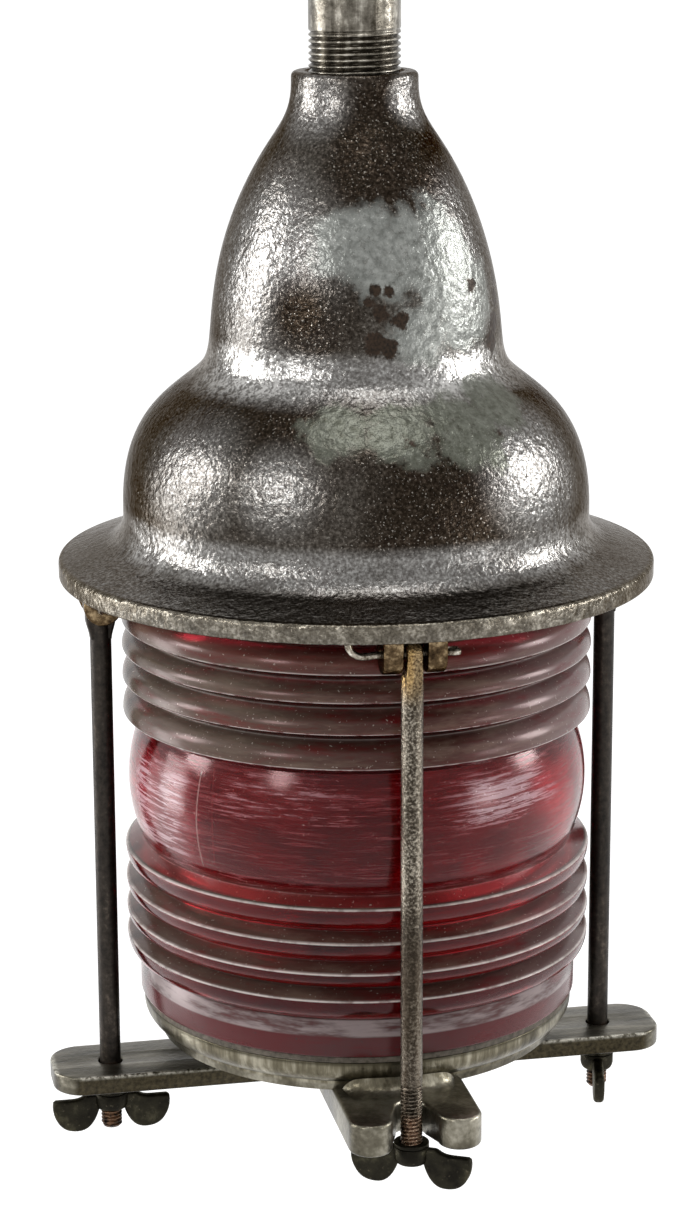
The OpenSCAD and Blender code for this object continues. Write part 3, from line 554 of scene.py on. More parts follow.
def ruby_glass():
    """Pressed ruby glass. Dust and wear dull the faces that look up: the broad faces of the upper
    rings and the steps of the lower ones. Grooves are chipped white, the crests carry thin painted
    highlights that are partly chips, and fine scratches run round the belt, with pale painted
    reflections on it."""
    f = Finish("ruby_glass")

    def ridges(heights, before, at, after):
        """1 at each of the heights, 0 from before it to after it."""
        return f.ramp(level, (0.0, 0.0), *[(height / LENS_SCALE + shift, value) for height in heights
                                           for shift, value in ((before, 0.0), (at, 1.0), (after, 0.0))])

    height = f.z - LENS_MID * MM
    level = f.math("DIVIDE", abs(height), LENS_SCALE * MM)
    angle = f.math("ARCTAN2", f.x, f.y * -1.0)
    radius = f.radius()
    cloud = f.noise(26, 4, 0.6)
    scratches = f.noise(1.0, 4, 0.7, place=f.join(angle * 5.0, f.z * 850.0, radius * 40.0))
    bands = f.noise(1.0, 4, 0.65, place=f.join(angle * 3.0, f.z * 190.0, radius * 60.0))
    speckle = f.span(f.noise(800, 2, 0.6), 0.66, 0.73)

    # Dust on what looks up
    upper = f.span(height, -0.002, 0.002)
    stops = [(0.0, 0.0)]
    for low, high in zip(CRESTS, (*GROOVES, LAST_RING)):
        stops += [(low / LENS_SCALE, 1.0), (high / LENS_SCALE, 0.0)]
    face = f.ramp(level, *stops, (75.0 / LENS_SCALE, 0.85), constant=True)
    step = (1 - face) * f.band(level, 0.300, 0.306, 0.89, 0.90)
    foot = f.span(level, 0.824, 0.83) * f.span(level, 0.90, 0.91, 0.95, 0.72)
    below = (step * 0.95 + foot + face * f.blend(cloud, -0.25, 0.45)).clipped()
    haze = f.blend(upper, below, face) * f.span(bands, 0.22, 0.50, 0.66, 1.0)
    haze = haze * f.span(height, 0.068, 0.060, 0.82, 1.0)
    under_belt = f.span(height, -0.0185, -0.0215) * f.span(height, -0.0280, -0.0255, 0.0, 0.6)

    # The belt: pale places that are painted reflections, fine scratches and the seam of the mould
    # Pale places: painted reflections on the belt, textured by the scratches
    pale = f.union(
        f.band(angle, -1.50, -1.38, -1.08, -0.95) * f.band(height, -0.024, -0.010, 0.010, 0.022) * 0.85,
        f.band(angle, -0.92, -0.60, -0.45, -0.10) * f.band(height, 0.000, 0.010, 0.016, 0.024) * 0.45,
        f.band(angle, 0.12, 0.38, 0.56, 0.90) * f.band(height, -0.004, 0.007, 0.014, 0.022) * 0.95)
    pale = pale * f.span(scratches, 0.38, 0.56, 0.5, 1.0)
    streaks = f.span(scratches, 0.48, 0.62) * f.span(bands, 0.36, 0.58, 0.18, 0.85)
    belt = f.span(level, 0.28, 0.24) * (streaks + pale).clipped()
    seam = f.span(abs(angle + 1.0 - f.noise(9, 2) * 0.12), 0.007, 0.002) * f.span(level, 0.26, 0.18)

    # Crests with thin painted highlights, partly chips, and chipped grooves
    crest = ridges(CRESTS, -0.006, -0.001, 0.004)
    groove = ridges((BELT_EDGE, *GROOVES), -0.005, 0.0, 0.005)
    chips_and_crest_highlights = ((crest * 1.5 + groove * 0.4) * f.span(f.noise(120, 4, 0.7), 0.30, 0.58, 0.4, 1.0)).clipped()
    # Bright: painted crest highlights, chipped grooves and the mould's seam
    bright = (chips_and_crest_highlights | seam * 0.55).clipped()
    veil = ((haze + under_belt + belt * 0.72 + speckle * 0.4) | bright).clipped()

    dust_and_painted_light = f.ramp(bands, (0.30, (0.032, 0.011, 0.009)), (0.50, (0.080, 0.036, 0.027)),
                  (0.68, (0.170, 0.115, 0.086)))
    dust_and_painted_light = f.mix(f.span(angle, 0.15, 0.75) * 0.42, dust_and_painted_light, (0.32, 0.24, 0.235))
    dust_and_painted_light = f.mix(f.span(angle, 0.1, -0.9) * 0.5, dust_and_painted_light, (0.130, 0.124, 0.096))
    dust_and_painted_light = f.mix(speckle * 0.7, dust_and_painted_light, (0.50, 0.44, 0.38))
    lower = 1 - upper
    dust_and_painted_light = f.mix(lower, dust_and_painted_light, f.mix(0.35, dust_and_painted_light, (0.030, 0.022, 0.018)))
    dust_and_painted_light = f.mix(f.span(level, 0.825, 0.835) * lower, dust_and_painted_light,
                 f.mix(f.span(bands, 0.38, 0.60), (0.100, 0.066, 0.064), (0.34, 0.28, 0.275)))
    dust_and_painted_light = f.mix(f.span(level, 0.90, 0.91), dust_and_painted_light, f.mix(cloud, (0.034, 0.014, 0.015), (0.085, 0.046, 0.046)))
    # Scratch colour on the belt, and the light colour of the painted reflections
    dust_and_painted_light = f.mix(belt, dust_and_painted_light, f.mix(pale, (0.30, 0.105, 0.120), (0.85, 0.74, 0.79)))
    # A pale colour for the painted crest highlights, the chips and the seam
    dust_and_painted_light = f.mix(bright, dust_and_painted_light, (0.74, 0.68, 0.64))
    return f.surface(Base_Color=f.mix(veil, tuple(bpy.context.scene.lantern.glass_colour), dust_and_painted_light),
                     Transmission_Weight=f.blend(veil, 1.0, 0.16), Roughness=f.blend(veil, 0.13, 0.24),
                     Normal=f.bump(scratches, 0.05, 0.4, f.bump(f.noise(60, 2, 0.5), 0.45, 0.3)),
                     IOR=1.52, Specular_Tint=(0.50, 0.34, 0.34))


def base_iron():
    """Cast base: greenish grey iron with a brassy tone, scratched on the disc, plain cast skin on
    the arms, and a dark line of painted shade under the glass."""
    f = Finish("base_iron")
    cloud, grain = f.noise(50, 4, 0.6), f.noise(560, 3, 0.6)
    scratches = f.noise(300, 4, 0.65, place=f.stretch(1, 1, 0.10))
    disc = f.ramp(cloud * 0.5 + scratches * 0.5,
                  (0.36, (0.036, 0.030, 0.018)), (0.50, (0.130, 0.115, 0.080)), (0.64, (0.35, 0.325, 0.255)))
    arms = f.ramp(cloud * 0.8 + grain * 0.2,
                  (0.36, (0.038, 0.033, 0.023)), (0.50, (0.118, 0.107, 0.080)), (0.66, (0.32, 0.30, 0.245)))
    colour = f.mix(f.span(f.z, -0.4432, -0.4446), disc, arms)
    # Painted shade: the disc's top under the glass is darkened
    colour = f.mix(f.span(f.z, -0.4352, -0.4338) * 0.8, colour, (0.035, 0.030, 0.018))
    return f.surface(Base_Color=colour, Metallic=0.95, Roughness=f.blend(cloud, 0.24, 0.40),
                     Normal=f.bump(grain, 0.22, 0.8, f.bump(cloud, 1.0, 0.5)))


def bar_steel():
    """Flat bar: dark steel, rubbed lighter towards its edges, olive brown on its sides."""
    f = Finish("bar_steel")
    cloud = f.noise(150, 5, 0.65, place=f.stretch(0.2, 1, 1))
    grain = f.noise(600, 3, 0.6)
    edge = f.span(abs(f.y), 0.0150, 0.0163) | f.span(abs(f.x), 0.1165, 0.1185)
    side = edge * f.span(f.z, -0.4574, -0.4590)
    colour = f.ramp(cloud, (0.35, (0.036, 0.032, 0.022)), (0.55, (0.110, 0.100, 0.076)),
                    (0.72, (0.24, 0.22, 0.175)))
    colour = f.mix((edge - side) * f.span(grain, 0.35, 0.6), colour, (0.46, 0.44, 0.38))
    olive = f.ramp(grain, (0.35, (0.012, 0.009, 0.004)), (0.65, (0.048, 0.038, 0.020)))
    colour = f.mix(side * 0.9, colour, olive)
    return f.surface(Base_Color=colour, Metallic=0.9, Roughness=f.blend(grain, 0.24, 0.40),
                     Normal=f.bump(grain, 0.22, 0.7, f.bump(cloud, 0.5, 0.4)))


def bolt_steel():
    """Front and back bolts: steel with fine pits, brassy at the eye, darker in the lower half,
    with a painted shade line down the middle of the shank, and coppery at the thread."""
    f = Finish("bolt_steel")
    pits = f.noise(1100, 3, 0.6)
    cloud = f.noise(110, 3, 0.55, place=f.stretch(1, 1, 0.2))
    colour = f.ramp(pits * 0.45 + cloud * 0.55,
                    (0.40, (0.030, 0.024, 0.018)), (0.50, (0.110, 0.092, 0.070)), (0.60, (0.34, 0.305, 0.25)))
    colour = f.mix(f.span(f.z, -0.370, -0.400) * 0.62, colour, (0.044, 0.030, 0.019))
    # Painted shade: a dark line down the middle of the shank, broken by the pits
    middle = f.span(abs(f.x + 0.0009), 0.0026, 0.0008) * f.span(f.z, -0.280, -0.296)
    colour = f.mix(middle * f.span(pits, 0.62, 0.42, 0.2, 0.85), colour, (0.022, 0.017, 0.012))
    brass = f.span(f.z, -0.296, -0.284) * f.span(cloud, 0.40, 0.60, 0.35, 1.0)
    colour = f.mix(brass, colour, f.ramp(pits, (0.35, (0.095, 0.052, 0.020)), (0.65, (0.46, 0.31, 0.13))))
    copper = f.span(f.z, -0.446, -0.450) * 0.75
    colour = f.mix(copper, colour, f.ramp(pits, (0.35, (0.10, 0.045, 0.025)), (0.65, (0.38, 0.275, 0.195))))
    return f.surface(Base_Color=colour, Metallic=0.96, Roughness=f.blend(pits, 0.34, 0.18),
                     Normal=f.bump(pits, 0.30, 1.0, f.bump(f.noise(420, 2, 0.5), 0.35, 0.8)))


def dark_bolt_steel():
    """Side bolts: black-brown steel, rusty at the thread."""
    f = Finish("dark_bolt_steel")
    grain = f.noise(480, 4, 0.65)
    streaks = f.noise(220, 3, 0.6, place=f.stretch(1, 1, 0.15))
    colour = f.ramp(grain * 0.5 + streaks * 0.5,
                    (0.38, (0.010, 0.008, 0.0065)), (0.55, (0.030, 0.024, 0.019)),
                    (0.70, (0.085, 0.068, 0.054)))
    rust = f.span(f.z, -0.456, -0.462) * f.span(grain, 0.38, 0.58)
    return f.surface(Base_Color=f.mix(rust, colour, (0.165, 0.092, 0.052)), Metallic=0.8,
                     Roughness=f.blend(grain, 0.52, 0.36), Normal=f.bump(grain, 0.22, 0.8))


def pin_steel():
    """Split pins: bright wire with a little grime."""
    f = Finish("pin_steel")
    grime = f.noise(500, 4, 0.65)
    colour = f.ramp(grime, (0.36, (0.060, 0.046, 0.030)), (0.52, (0.30, 0.27, 0.22)),
                    (0.68, (0.62, 0.59, 0.52)))
    return f.surface(Base_Color=colour, Metallic=1.0, Roughness=f.blend(grime, 0.34, 0.2),
                     Normal=f.bump(grime, 0.08, 0.6))


def nut_iron():
    """Wing nuts, washers and spacers: near-black malleable iron with an olive tone."""
    f = Finish("nut_iron")
    cloud, grain = f.noise(130, 4, 0.6), f.noise(700, 3, 0.6)
    colour = f.ramp(cloud, (0.36, (0.007, 0.006, 0.0042)), (0.55, (0.019, 0.017, 0.011)),
                    (0.72, (0.060, 0.054, 0.034)))
    colour = f.mix(f.span(grain, 0.62, 0.74) * 0.3, colour, (0.16, 0.14, 0.095))
    return f.surface(Base_Color=colour, Metallic=0.75, Roughness=f.blend(grain, 0.50, 0.30),
                     Normal=f.bump(grain, 0.25, 0.8, f.bump(cloud, 0.6, 0.6)),
                     Specular_Tint=(0.50, 0.48, 0.42))


def plain_finish(name, dark, light, scale, metallic, rough, depth=0.05):
    """Finish of a small or inner piece: two tones of one colour in a cloudy pattern, and the
    same pattern as slight relief."""
    f = Finish(name)
    cloud = f.noise(scale, 4, 0.6)
    return f.surface(Base_Color=f.ramp(cloud, (0.35, dark), (0.65, light)), Metallic=metallic,
                     Roughness=f.blend(cloud, rough + 0.08, rough - 0.08), Normal=f.bump(cloud, depth, 0.6))


def clear_glass(name, tint):
    """Thin lamp glass, faintly clouded."""
    f = Finish(name)
    cloud = f.noise(45, 3, 0.6)
    return f.surface(Base_Color=f.ramp(cloud, (0.3, tint), (0.7, (0.97, 0.98, 0.98))), IOR=1.48,
                     Roughness=f.blend(cloud, 0.02, 0.10), Transmission_Weight=1.0)


# Dark tone, light tone, scale of the pattern, metallic, roughness and relief in mm of plain finishes
PLAIN_FINISHES = {
    "packing": ((0.050, 0.040, 0.028), (0.125, 0.105, 0.080), 420, 0.0, 0.75, 0.2),
    "strap_steel": ((0.24, 0.22, 0.19), (0.48, 0.46, 0.42), 180, 0.9, 0.40),
    "porcelain": ((0.70, 0.67, 0.60), (0.86, 0.84, 0.78), 60, 0.0, 0.22),
    "socket_brass": ((0.42, 0.29, 0.11), (0.72, 0.54, 0.24), 200, 0.95, 0.32),
    "dark_insulation": ((0.028, 0.022, 0.020), (0.075, 0.062, 0.054), 500, 0.0, 0.65),
    "pale_insulation": ((0.26, 0.24, 0.20), (0.42, 0.40, 0.35), 500, 0.0, 0.65),
    "filament_wire": ((0.22, 0.21, 0.20), (0.50, 0.49, 0.47), 900, 1.0, 0.30),
}
# Darker tint of the clear glasses
CLEAR_GLASSES = {"bulb_glass": (0.90, 0.93, 0.94), "stem_glass": (0.82, 0.87, 0.88)}
MAKERS = {make.__name__: make for make in (burnished_iron, pipe_steel, ruby_glass, base_iron, bar_steel,
                                           bolt_steel, dark_bolt_steel, pin_steel, nut_iron)}
MADE = {}


def finish_named(slot):
    """The material of a slot, made the first time it is asked for."""
    if slot not in MADE:
        if slot in MAKERS:
            made = MAKERS[slot]()
        elif slot in CLEAR_GLASSES:
            made = clear_glass(slot, CLEAR_GLASSES[slot])
        else:
            made = plain_finish(slot, *PLAIN_FINISHES[slot])
        made.name = slot
        MADE[slot] = made
    return MADE[slot]


def hand_over(piece, body, slot, *nodes):
    """Gives a piece its finish, its body and the construction nodes it stands for."""
    piece.data.materials.append(finish_named(slot))
    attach(piece, body)
    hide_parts(*nodes)


# Settings

class LanternSettings(bpy.types.PropertyGroup):
    """Sizes and colours of the pieces."""
    segments: bpy.props.IntProperty(
        name="Segments", description="Segments round the bonnet and the glass", default=320, min=64, max=512)
    waviness: bpy.props.FloatProperty(
        name="Waviness", description="Half the greatest depth of the slow waves in the cast bonnet",
        default=0.00022, min=0, max=0.001, precision=5, subtype="DISTANCE", unit="LENGTH")
    bevel: bpy.props.FloatProperty(
        name="Edge rounding", description="Rounding of the bar's edges",
        default=0.0009, min=0.0001, max=0.003, precision=5, subtype="DISTANCE", unit="LENGTH")
    glass_colour: bpy.props.FloatVectorProperty(
        name="Glass", description="Colour of the ruby glass where it is clean",
        default=(0.37, 0.0035, 0.011), min=0, max=1, subtype="COLOR")
    # These two paint tones are the bell's, lightened there as a painted highlight
    paint_light: bpy.props.FloatVectorProperty(
        name="Paint", description="Lightest tone of the old paint on the bell",
        default=(0.33, 0.34, 0.32), min=0, max=1, subtype="COLOR")
    paint_shade: bpy.props.FloatVectorProperty(
        name="Paint shade", description="Darkest tone of the old paint on the bell",
        default=(0.155, 0.162, 0.150), min=0, max=1, subtype="COLOR")
    # Also the colour of the painted highlights on the bonnet, which are laid as bare iron
    bare_iron: bpy.props.FloatVectorProperty(
        name="Bare iron", description="Lightest tone of the bonnet where it is rubbed bare",
        default=(0.34, 0.335, 0.325), min=0, max=1, subtype="COLOR")


class StudioSettings(bpy.types.PropertyGroup):
    """Settings of camera and light."""
    azimuth: bpy.props.FloatProperty(
        name="Azimuth", description="Angle of the camera round the lamp's axis, from the front",
        default=math.radians(-11.4), subtype="ANGLE", unit="ROTATION")
    elevation: bpy.props.FloatProperty(
        name="Elevation", description="Angle of the camera above the horizon",
        default=math.radians(14.4), subtype="ANGLE", unit="ROTATION")
    roll: bpy.props.FloatProperty(
        name="Roll", description="Turn of the camera about its own axis",
        default=math.radians(0.2), subtype="ANGLE", unit="ROTATION")
    distance: bpy.props.FloatProperty(
        name="Distance", description="Distance from the camera to the point it looks at",
        default=1.2003, min=0.3, subtype="DISTANCE", unit="LENGTH")
    focus_level: bpy.props.FloatProperty(
        name="Level", description="Height of the point that the camera looks at",
        default=-0.2852, subtype="DISTANCE", unit="LENGTH")
    offset: bpy.props.FloatProperty(
        name="Offset", description="Distance from the picture's middle to the lamp's axis",
        default=0.0029, subtype="DISTANCE", unit="LENGTH")
    focal_length: bpy.props.FloatProperty(
        name="Focal length", description="Focal length on a frame 36 mm high", default=94.35, min=10,
        unit="CAMERA")
    floor_gap: bpy.props.FloatProperty(
        name="Floor gap", description="Gap between the light and the floor",
        default=0.26, min=0, subtype="DISTANCE", unit="LENGTH")
    fill: bpy.props.FloatProperty(
        name="Fill", description="Strength of the world on matt surfaces", default=0.28, min=0, max=1)


# Pieces

# The bonnet: lean of bell, apron and waist and slope of the flange in degrees, the rest in mm
BELL, APRON, WAIST_LEAN, FLANGE_SLOPE = 30.4, 50.2, 10.8, 17
WALL, FILLET, RIM_ROUND, FOOT_ROUND, FOOT_X, NECK_BORE, SEAT_R = 6, 5.8, 1.8, 11.5, 98.2, 16.74, 74
EAR_R, EAR_WIDTH, EAR_GAP, BOSS_X, BOSS_R = 7, 7, 8.5, 66, 6


def bonnet_curve(w):
    """The bonnet's outline from neck to shoulder, w inside its outer face, out of four cubics:
    the neck's flare, the bell, the hollow of the waist and the shoulder."""
    a = np.array([23 - w, NECK - 4])
    b = np.array([35.1 - w, NECK - 30.9 - w / 4])
    m = np.array([54.5 - w, WAIST - w / 2])
    p = m + FILLET * (lean(WAIST_LEAN) + lean(APRON))
    s = np.array([86.7 - w, FLANGE + 25.4])
    return profile(a, bezier(a, a - [0, 11.5], b - 13 * lean(BELL), b, 12),
                   bezier(b, b + 37 * lean(BELL), m - 9.2 * lean(WAIST_LEAN), m, 26),
                   bezier(m, m + 0.8 * FILLET * lean(WAIST_LEAN), p - 0.8 * FILLET * lean(APRON), p, 8),
                   bezier(p, p + 14.3 * lean(APRON), s + [0, 33.6 - w / 2], s, 26))


def make_bonnet(settings):
    """Surface of revolution of the bonnet's outline, out of the cubics of bonnet_curve and the
    arcs of neck rim, foot and flange, with slow waves in the outer radius, the waviness times
    (sin(3a + 0.7) sin(z/17) + sin(5a + z/11) - 2) / 2, which fade out above the flange and below
    the neck; the hinge ears and the bosses of the strap are plates on it."""
    skin, inner = bonnet_curve(0), bonnet_curve(WALL)

    def relief(r, z, a):
        middle_of_wall = np.interp(-z, -skin[:, 1], skin[:, 0]) - WALL / 2
        outer = np.clip((-z - 92) / 10, 0, 1) * np.clip((z + 252) / 6, 0, 1) * (r > middle_of_wall)
        slow = np.sin(3 * a + 0.7) * np.sin(z / 17) + np.sin(5 * a + z / 11) - 2
        return outer * settings.waviness / MM * slow / 2

    below = inner[(inner[:, 1] < NECK - 24) & (inner[:, 0] > NECK_BORE)]
    slope = math.radians(FLANGE_SLOPE)
    rim = np.array([108.94, FLANGE + 5.4])
    crest = rim + RIM_ROUND * np.array([math.sin(slope), math.cos(slope)])
    reach = crest[0] - FOOT_X + FOOT_ROUND * math.sin(slope)
    foot = (FOOT_X, crest[1] + reach * math.tan(slope) + FOOT_ROUND * math.cos(slope))
    top = profile(arc(foot, FOOT_ROUND, 180, 270 - FLANGE_SLOPE, 16))
    across = top[-1] + (crest - top[-1]) * np.arange(1, 8)[:, None] / 8
    outline = profile(
        arc((21, NECK - 2), 2, 90, 0, 6), skin, top, across,
        arc(rim, RIM_ROUND, 90 - FLANGE_SLOPE, 0, 6), [110.74, FLANGE + 4],
        arc((109.94, FLANGE + 0.8), 0.8, 0, -90, 3), [98, FLANGE],
        arc((85.3, FLANGE + 0.6), 0.6, -90, -180, 3),
        [[84.7, SEAT], [SEAT_R, SEAT], [SEAT_R, SEAT + 8], [80.7, SEAT + 14]], below[::-1],
        [[NECK_BORE, NECK - 24], [NECK_BORE, NECK - 1.4], [NECK_BORE + 1.4, NECK]])
    shape = Shape()
    revolve(shape, outline, settings.segments, relief=relief)
    ear = profile(arc((0, 0), EAR_R, 180, 360, 24), [[EAR_R, 8], [-EAR_R, 8]])
    for name in SIDES:
        to_bolt = at_bolt(name, PIN)
        for low in (-EAR_GAP / 2 - EAR_WIDTH, EAR_GAP / 2):
            plate(shape, ear, [circle(0, PIN_HOLE, 24)], low, low + EAR_WIDTH, 0.9,
                  lambda p: to_bolt(upright(p)))
    for x in (-BOSS_X, BOSS_X):
        plate(shape, circle(x, BOSS_R, 32), [], BOSS_LOW, BOSS_TOP, 0.5)
    hand_over(shape.build("bonnet_casting"), "hood", "burnished_iron", "bonnet")


def make_pipe():
    """Tube whose outer radius is R less the thread's depth, a right-hand helix of 2.209 mm pitch
    that runs out seven turns above the neck."""
    top = NECK + 7 * PIPE_PITCH
    outline = profile([[PIPE_BORE_R, 0], [PIPE_R - 0.4, 0], [PIPE_R, -0.4]],
                      column(PIPE_R, np.arange(-1.0, top + 1, -6.0)),
                      column(PIPE_R, np.arange(top + 0.5, -PIPE_LEN + 1.3, -PIPE_PITCH / 12)),
                      [[PIPE_R - 1.2, -PIPE_LEN], [PIPE_BORE_R, -PIPE_LEN], [PIPE_BORE_R, -PIPE_LEN / 2]])
    shape = Shape()
    revolve(shape, outline, 144, relief=thread(PIPE_R, 0.3, PIPE_PITCH, 1.2, top, -PIPE_LEN))
    hand_over(shape.build("threaded_pipe", 60), "hood", "pipe_steel", "pipe_nipple")


def lens_side():
    """Upper half of the glass's outer face: an arc for the belt, then for each ring a broad face,
    a cubic from its crest in to the groove, and a step out to the next crest, with crests and
    grooves eased by 0.35 mm."""
    drop, crest_r = 4.9, 88
    belt_r = (BELT_EDGE**2 + drop**2) / (2 * drop)
    belt_a = math.degrees(math.asin(BELT_EDGE / belt_r))
    rows = [arc((86.4 - belt_r, 0), belt_r, 0, belt_a, 20)]
    for low, high, end_r in zip(CRESTS, (*GROOVES, LAST_RING), (81.0, 81.0, 81.0, 81.7)):
        h = high - low
        start, crest = [crest_r - 0.6, low - 0.32], [crest_r, low + 0.5]
        face = bezier(crest, [crest_r, low + 0.62 * h], [crest_r - 0.4 * (crest_r - end_r), low + 0.86 * h],
                      [end_r + 0.25, high - 0.3], 18)
        rows += [start, bezier(start, [crest_r - 0.15, low - 0.1], [crest_r, low + 0.15], crest, 4), face,
                 bezier(face[-1], [end_r, high - 0.1], [end_r, high + 0.1], [end_r + 0.35, high + 0.2], 3)]
    return profile(*rows, [[83.2, 75.3], [83.2, 83.1]], arc((82.4, 83.1), 0.8, 0, 90, 4)[1:])


def make_lens(settings):
    """Surface of revolution of the glass: the outline of lens_side and its mirror image outside,
    a bore of 73 mm radius inside."""
    side = lens_side()
    bore = [[73.6, 83.9], [73, 83.3], [73, 40], [73, 0], [73, -40], [73, -83.3], [73.6, -83.9]]
    shape = Shape()
    revolve(shape, profile(side[:0:-1] * [1, -1], side, bore) + [0, LENS_MID], settings.segments)
    hand_over(shape.build("ruby_drum", 30), "lens_and_base", "ruby_glass", "lens")


def ring_outline(outer, inner, low, high, q, n):
    """Section of a flat ring: a rectangle whose outer corners are rounded by q."""
    return profile(arc((outer - q, low + q), q, -90, 0, n), arc((outer - q, high - q), q, 0, 90, n),
                   [[inner, high], [inner, low]])


def make_packing():
    """Two flat rings, each a surface of revolution of a rounded rectangle."""
    for name, body, low, outer in (("top_gasket", "hood", LENS_TOP, 83.2),
                                   ("bottom_gasket", "lens_and_base", DISC, 82.3)):
        shape = Shape()
        revolve(shape, ring_outline(outer, 73.5, low, low + 2.5, 0.6, 4), 192)
        hand_over(shape.build(name + "_ring"), body, "packing", name)


def make_base():
    """The casting under the glass: a surface of revolution for the disc with its dish and
    spigot, one plate for both fork arms, whose outline is two mirrored runs of lines and arcs,
    a round boss, and on each arm a hollow cubic blend from the disc's foot down to its top,
    which shrinks towards its ends by 0.97 t^7, t from 0 in its middle to 1."""
    shape = Shape()
    disc_r, dish_r, spigot_r, top = 82, 68, 72, LENS_END + 3
    outline = profile(
        [[0, DISC - 4], [30, DISC - 4], [dish_r, DISC - 4], [dish_r, top - 0.4], [dish_r + 0.4, top],
         [spigot_r - 0.4, top], [spigot_r, top - 0.4], [spigot_r, DISC], [disc_r - 0.8, DISC]],
        arc((disc_r - 0.6, DISC - 0.6), 0.6, 90, 0, 3), [disc_r, DISC - 2.8],
        bezier([disc_r, DISC - 2.8], [disc_r, DISC - 6.6], [78, DISC_LOW + 0.5], [76.5, DISC_LOW], 14),
        [[76.2, ARM + 1], [76, ARM - 1], [40, ARM - 1], [0, ARM - 1]])
    revolve(shape, outline, 224, open_ends=True)
    half_width, tip, slot = 24.25, 8, 5.35
    prong = half_width - tip
    half = profile([60, -half_width], arc((102.5, -prong), tip, -90, 90, 20),
                   arc((94.5, 0), slot, -90, -270, 24), arc((102.5, prong), tip, -90, 90, 20),
                   [60, half_width])
    plate(shape, profile(half, -half)[:, ::-1] * [1, -1], [], BAR, ARM, 1.3)
    plate(shape, circle(0, 39, 96), [], BAR, DISC_LOW, 0.8)
    start, corner = [80.6, DISC_LOW + 3.3], np.array([77, ARM - 1])
    step = profile([[70, DISC_LOW + 0.5], [78, DISC_LOW + 2.2], start],
                   bezier(start, [80.9, DISC_LOW - 0.2], [83.5, ARM + 0.3], [88.5, ARM - 0.02], 12),
                   [[88.5, ARM - 1.5], [70, ARM - 1.5]])
    t = np.linspace(-1, 1, 41)[:, None]
    full = 1 - 0.97 * np.abs(t) ** 7
    for middle in (-90, 90):
        a = np.radians(middle + math.degrees(math.asin(23.2 / 84)) * t)
        r, z = (corner[k] + full * (step[:, k] - corner[k]) for k in (0, 1))
        rings = np.stack([r * np.cos(a), r * np.sin(a), z], -1)
        shape.add_rings(rings, rings[0].mean(0), rings[-1].mean(0))
    hand_over(shape.build("base_casting"), "lens_and_base", "base_iron", "base_plate")


def make_bar(settings):
    """The cross bar, a plate with round corners of 12 mm and four holes, and the two hexagon
    bolts that hold it."""
    corners = [arc((sx * 107, sy * 4.75), 12, a, a + 90, 12)
               for sx, sy, a in ((1, 1, 0), (-1, 1, 90), (-1, -1, 180), (1, -1, 270))]
    holes = [circle(sign * x, r, 32) for x, r in ((BOLT_R, 4.5), (BAR_BOLT_X, 4.02)) for sign in (1, -1)]
    shape = Shape()
    plate(shape, profile(*corners), holes, BAR_LOW, BAR, settings.bevel / MM)
    hand_over(shape.build("flat_bar"), "lens_and_base", "bar_steel", "cross_bar")
    shape = Shape()
    for x in (-BAR_BOLT_X, BAR_BOLT_X):
        plate(shape, circle(x, HEX_CORNER, 6), [], BAR_LOW - 5.3, BAR_LOW, 0.5)
        low, high = BAR_LOW - 1, BAR + 10
        revolve(shape, profile([[0, low], [BOLT_RADIUS, low], [BOLT_RADIUS, high], [0, high]]), 32, (x, 0),
                open_ends=True)
    hand_over(shape.build("hexagon_bolts"), "lens_and_base", "bar_steel", "bar_bolts")


def make_bolts():
    """Four swing bolts. The eye is a plate with a round hole that tapers into the shank; the
    shank is a surface of revolution of radius R less the thread's depth, a right-hand helix of
    1.411 mm pitch, and it grows out of the flats of the eye."""
    eye_r, eye_thick = 5.5, 6
    eye = profile(arc((0, 0), eye_r, 0, 180, 28), [-eye_r, -6.8],
                  bezier([-eye_r, -6.8], [-5.4, -9], [-4.1, -11.5], [-3.9, -14.2], 6),
                  bezier([-3.9, -14.2], [-3, -15], [3, -15], [3.9, -14.2], 4),
                  bezier([3.9, -14.2], [4.1, -11.5], [5.4, -9], [eye_r, -6.8], 6))
    for name in SIDES:
        side = name in ("left", "right")
        length, turns = (207.85, 18) if side else (190.05, 21)
        to_bolt = at_bolt(name, PIN)
        shape = Shape()
        plate(shape, eye, [circle(0, PIN_HOLE, 24)], -eye_thick / 2, eye_thick / 2, 1.1,
              lambda p: to_bolt(upright(p)))
        top = -length + 0.8 + turns * BOLT_PITCH
        outline = profile([[0, -6], [2.4, -6]],
                          bezier([2.4, -6], [3.2, -6.6], [BOLT_RADIUS, -8], [BOLT_RADIUS, -10], 4),
                          column(BOLT_RADIUS, np.arange(-12.0, top + 1, -8.0)),
                          column(BOLT_RADIUS, np.arange(top + 0.4, -length + 0.8, -BOLT_PITCH / 10)),
                          [[3.1, -length], [0, -length]])
        revolve(shape, outline, 48, relief=thread(BOLT_RADIUS, 0.1, BOLT_PITCH, 0.8, top, -length),
                open_ends=True, place=to_bolt)
        hand_over(shape.build("swing_bolt_" + name, 50), "hood" if side else "bolt_" + name,
                  "dark_bolt_steel" if side else "bolt_steel", "eyebolt_" + name)


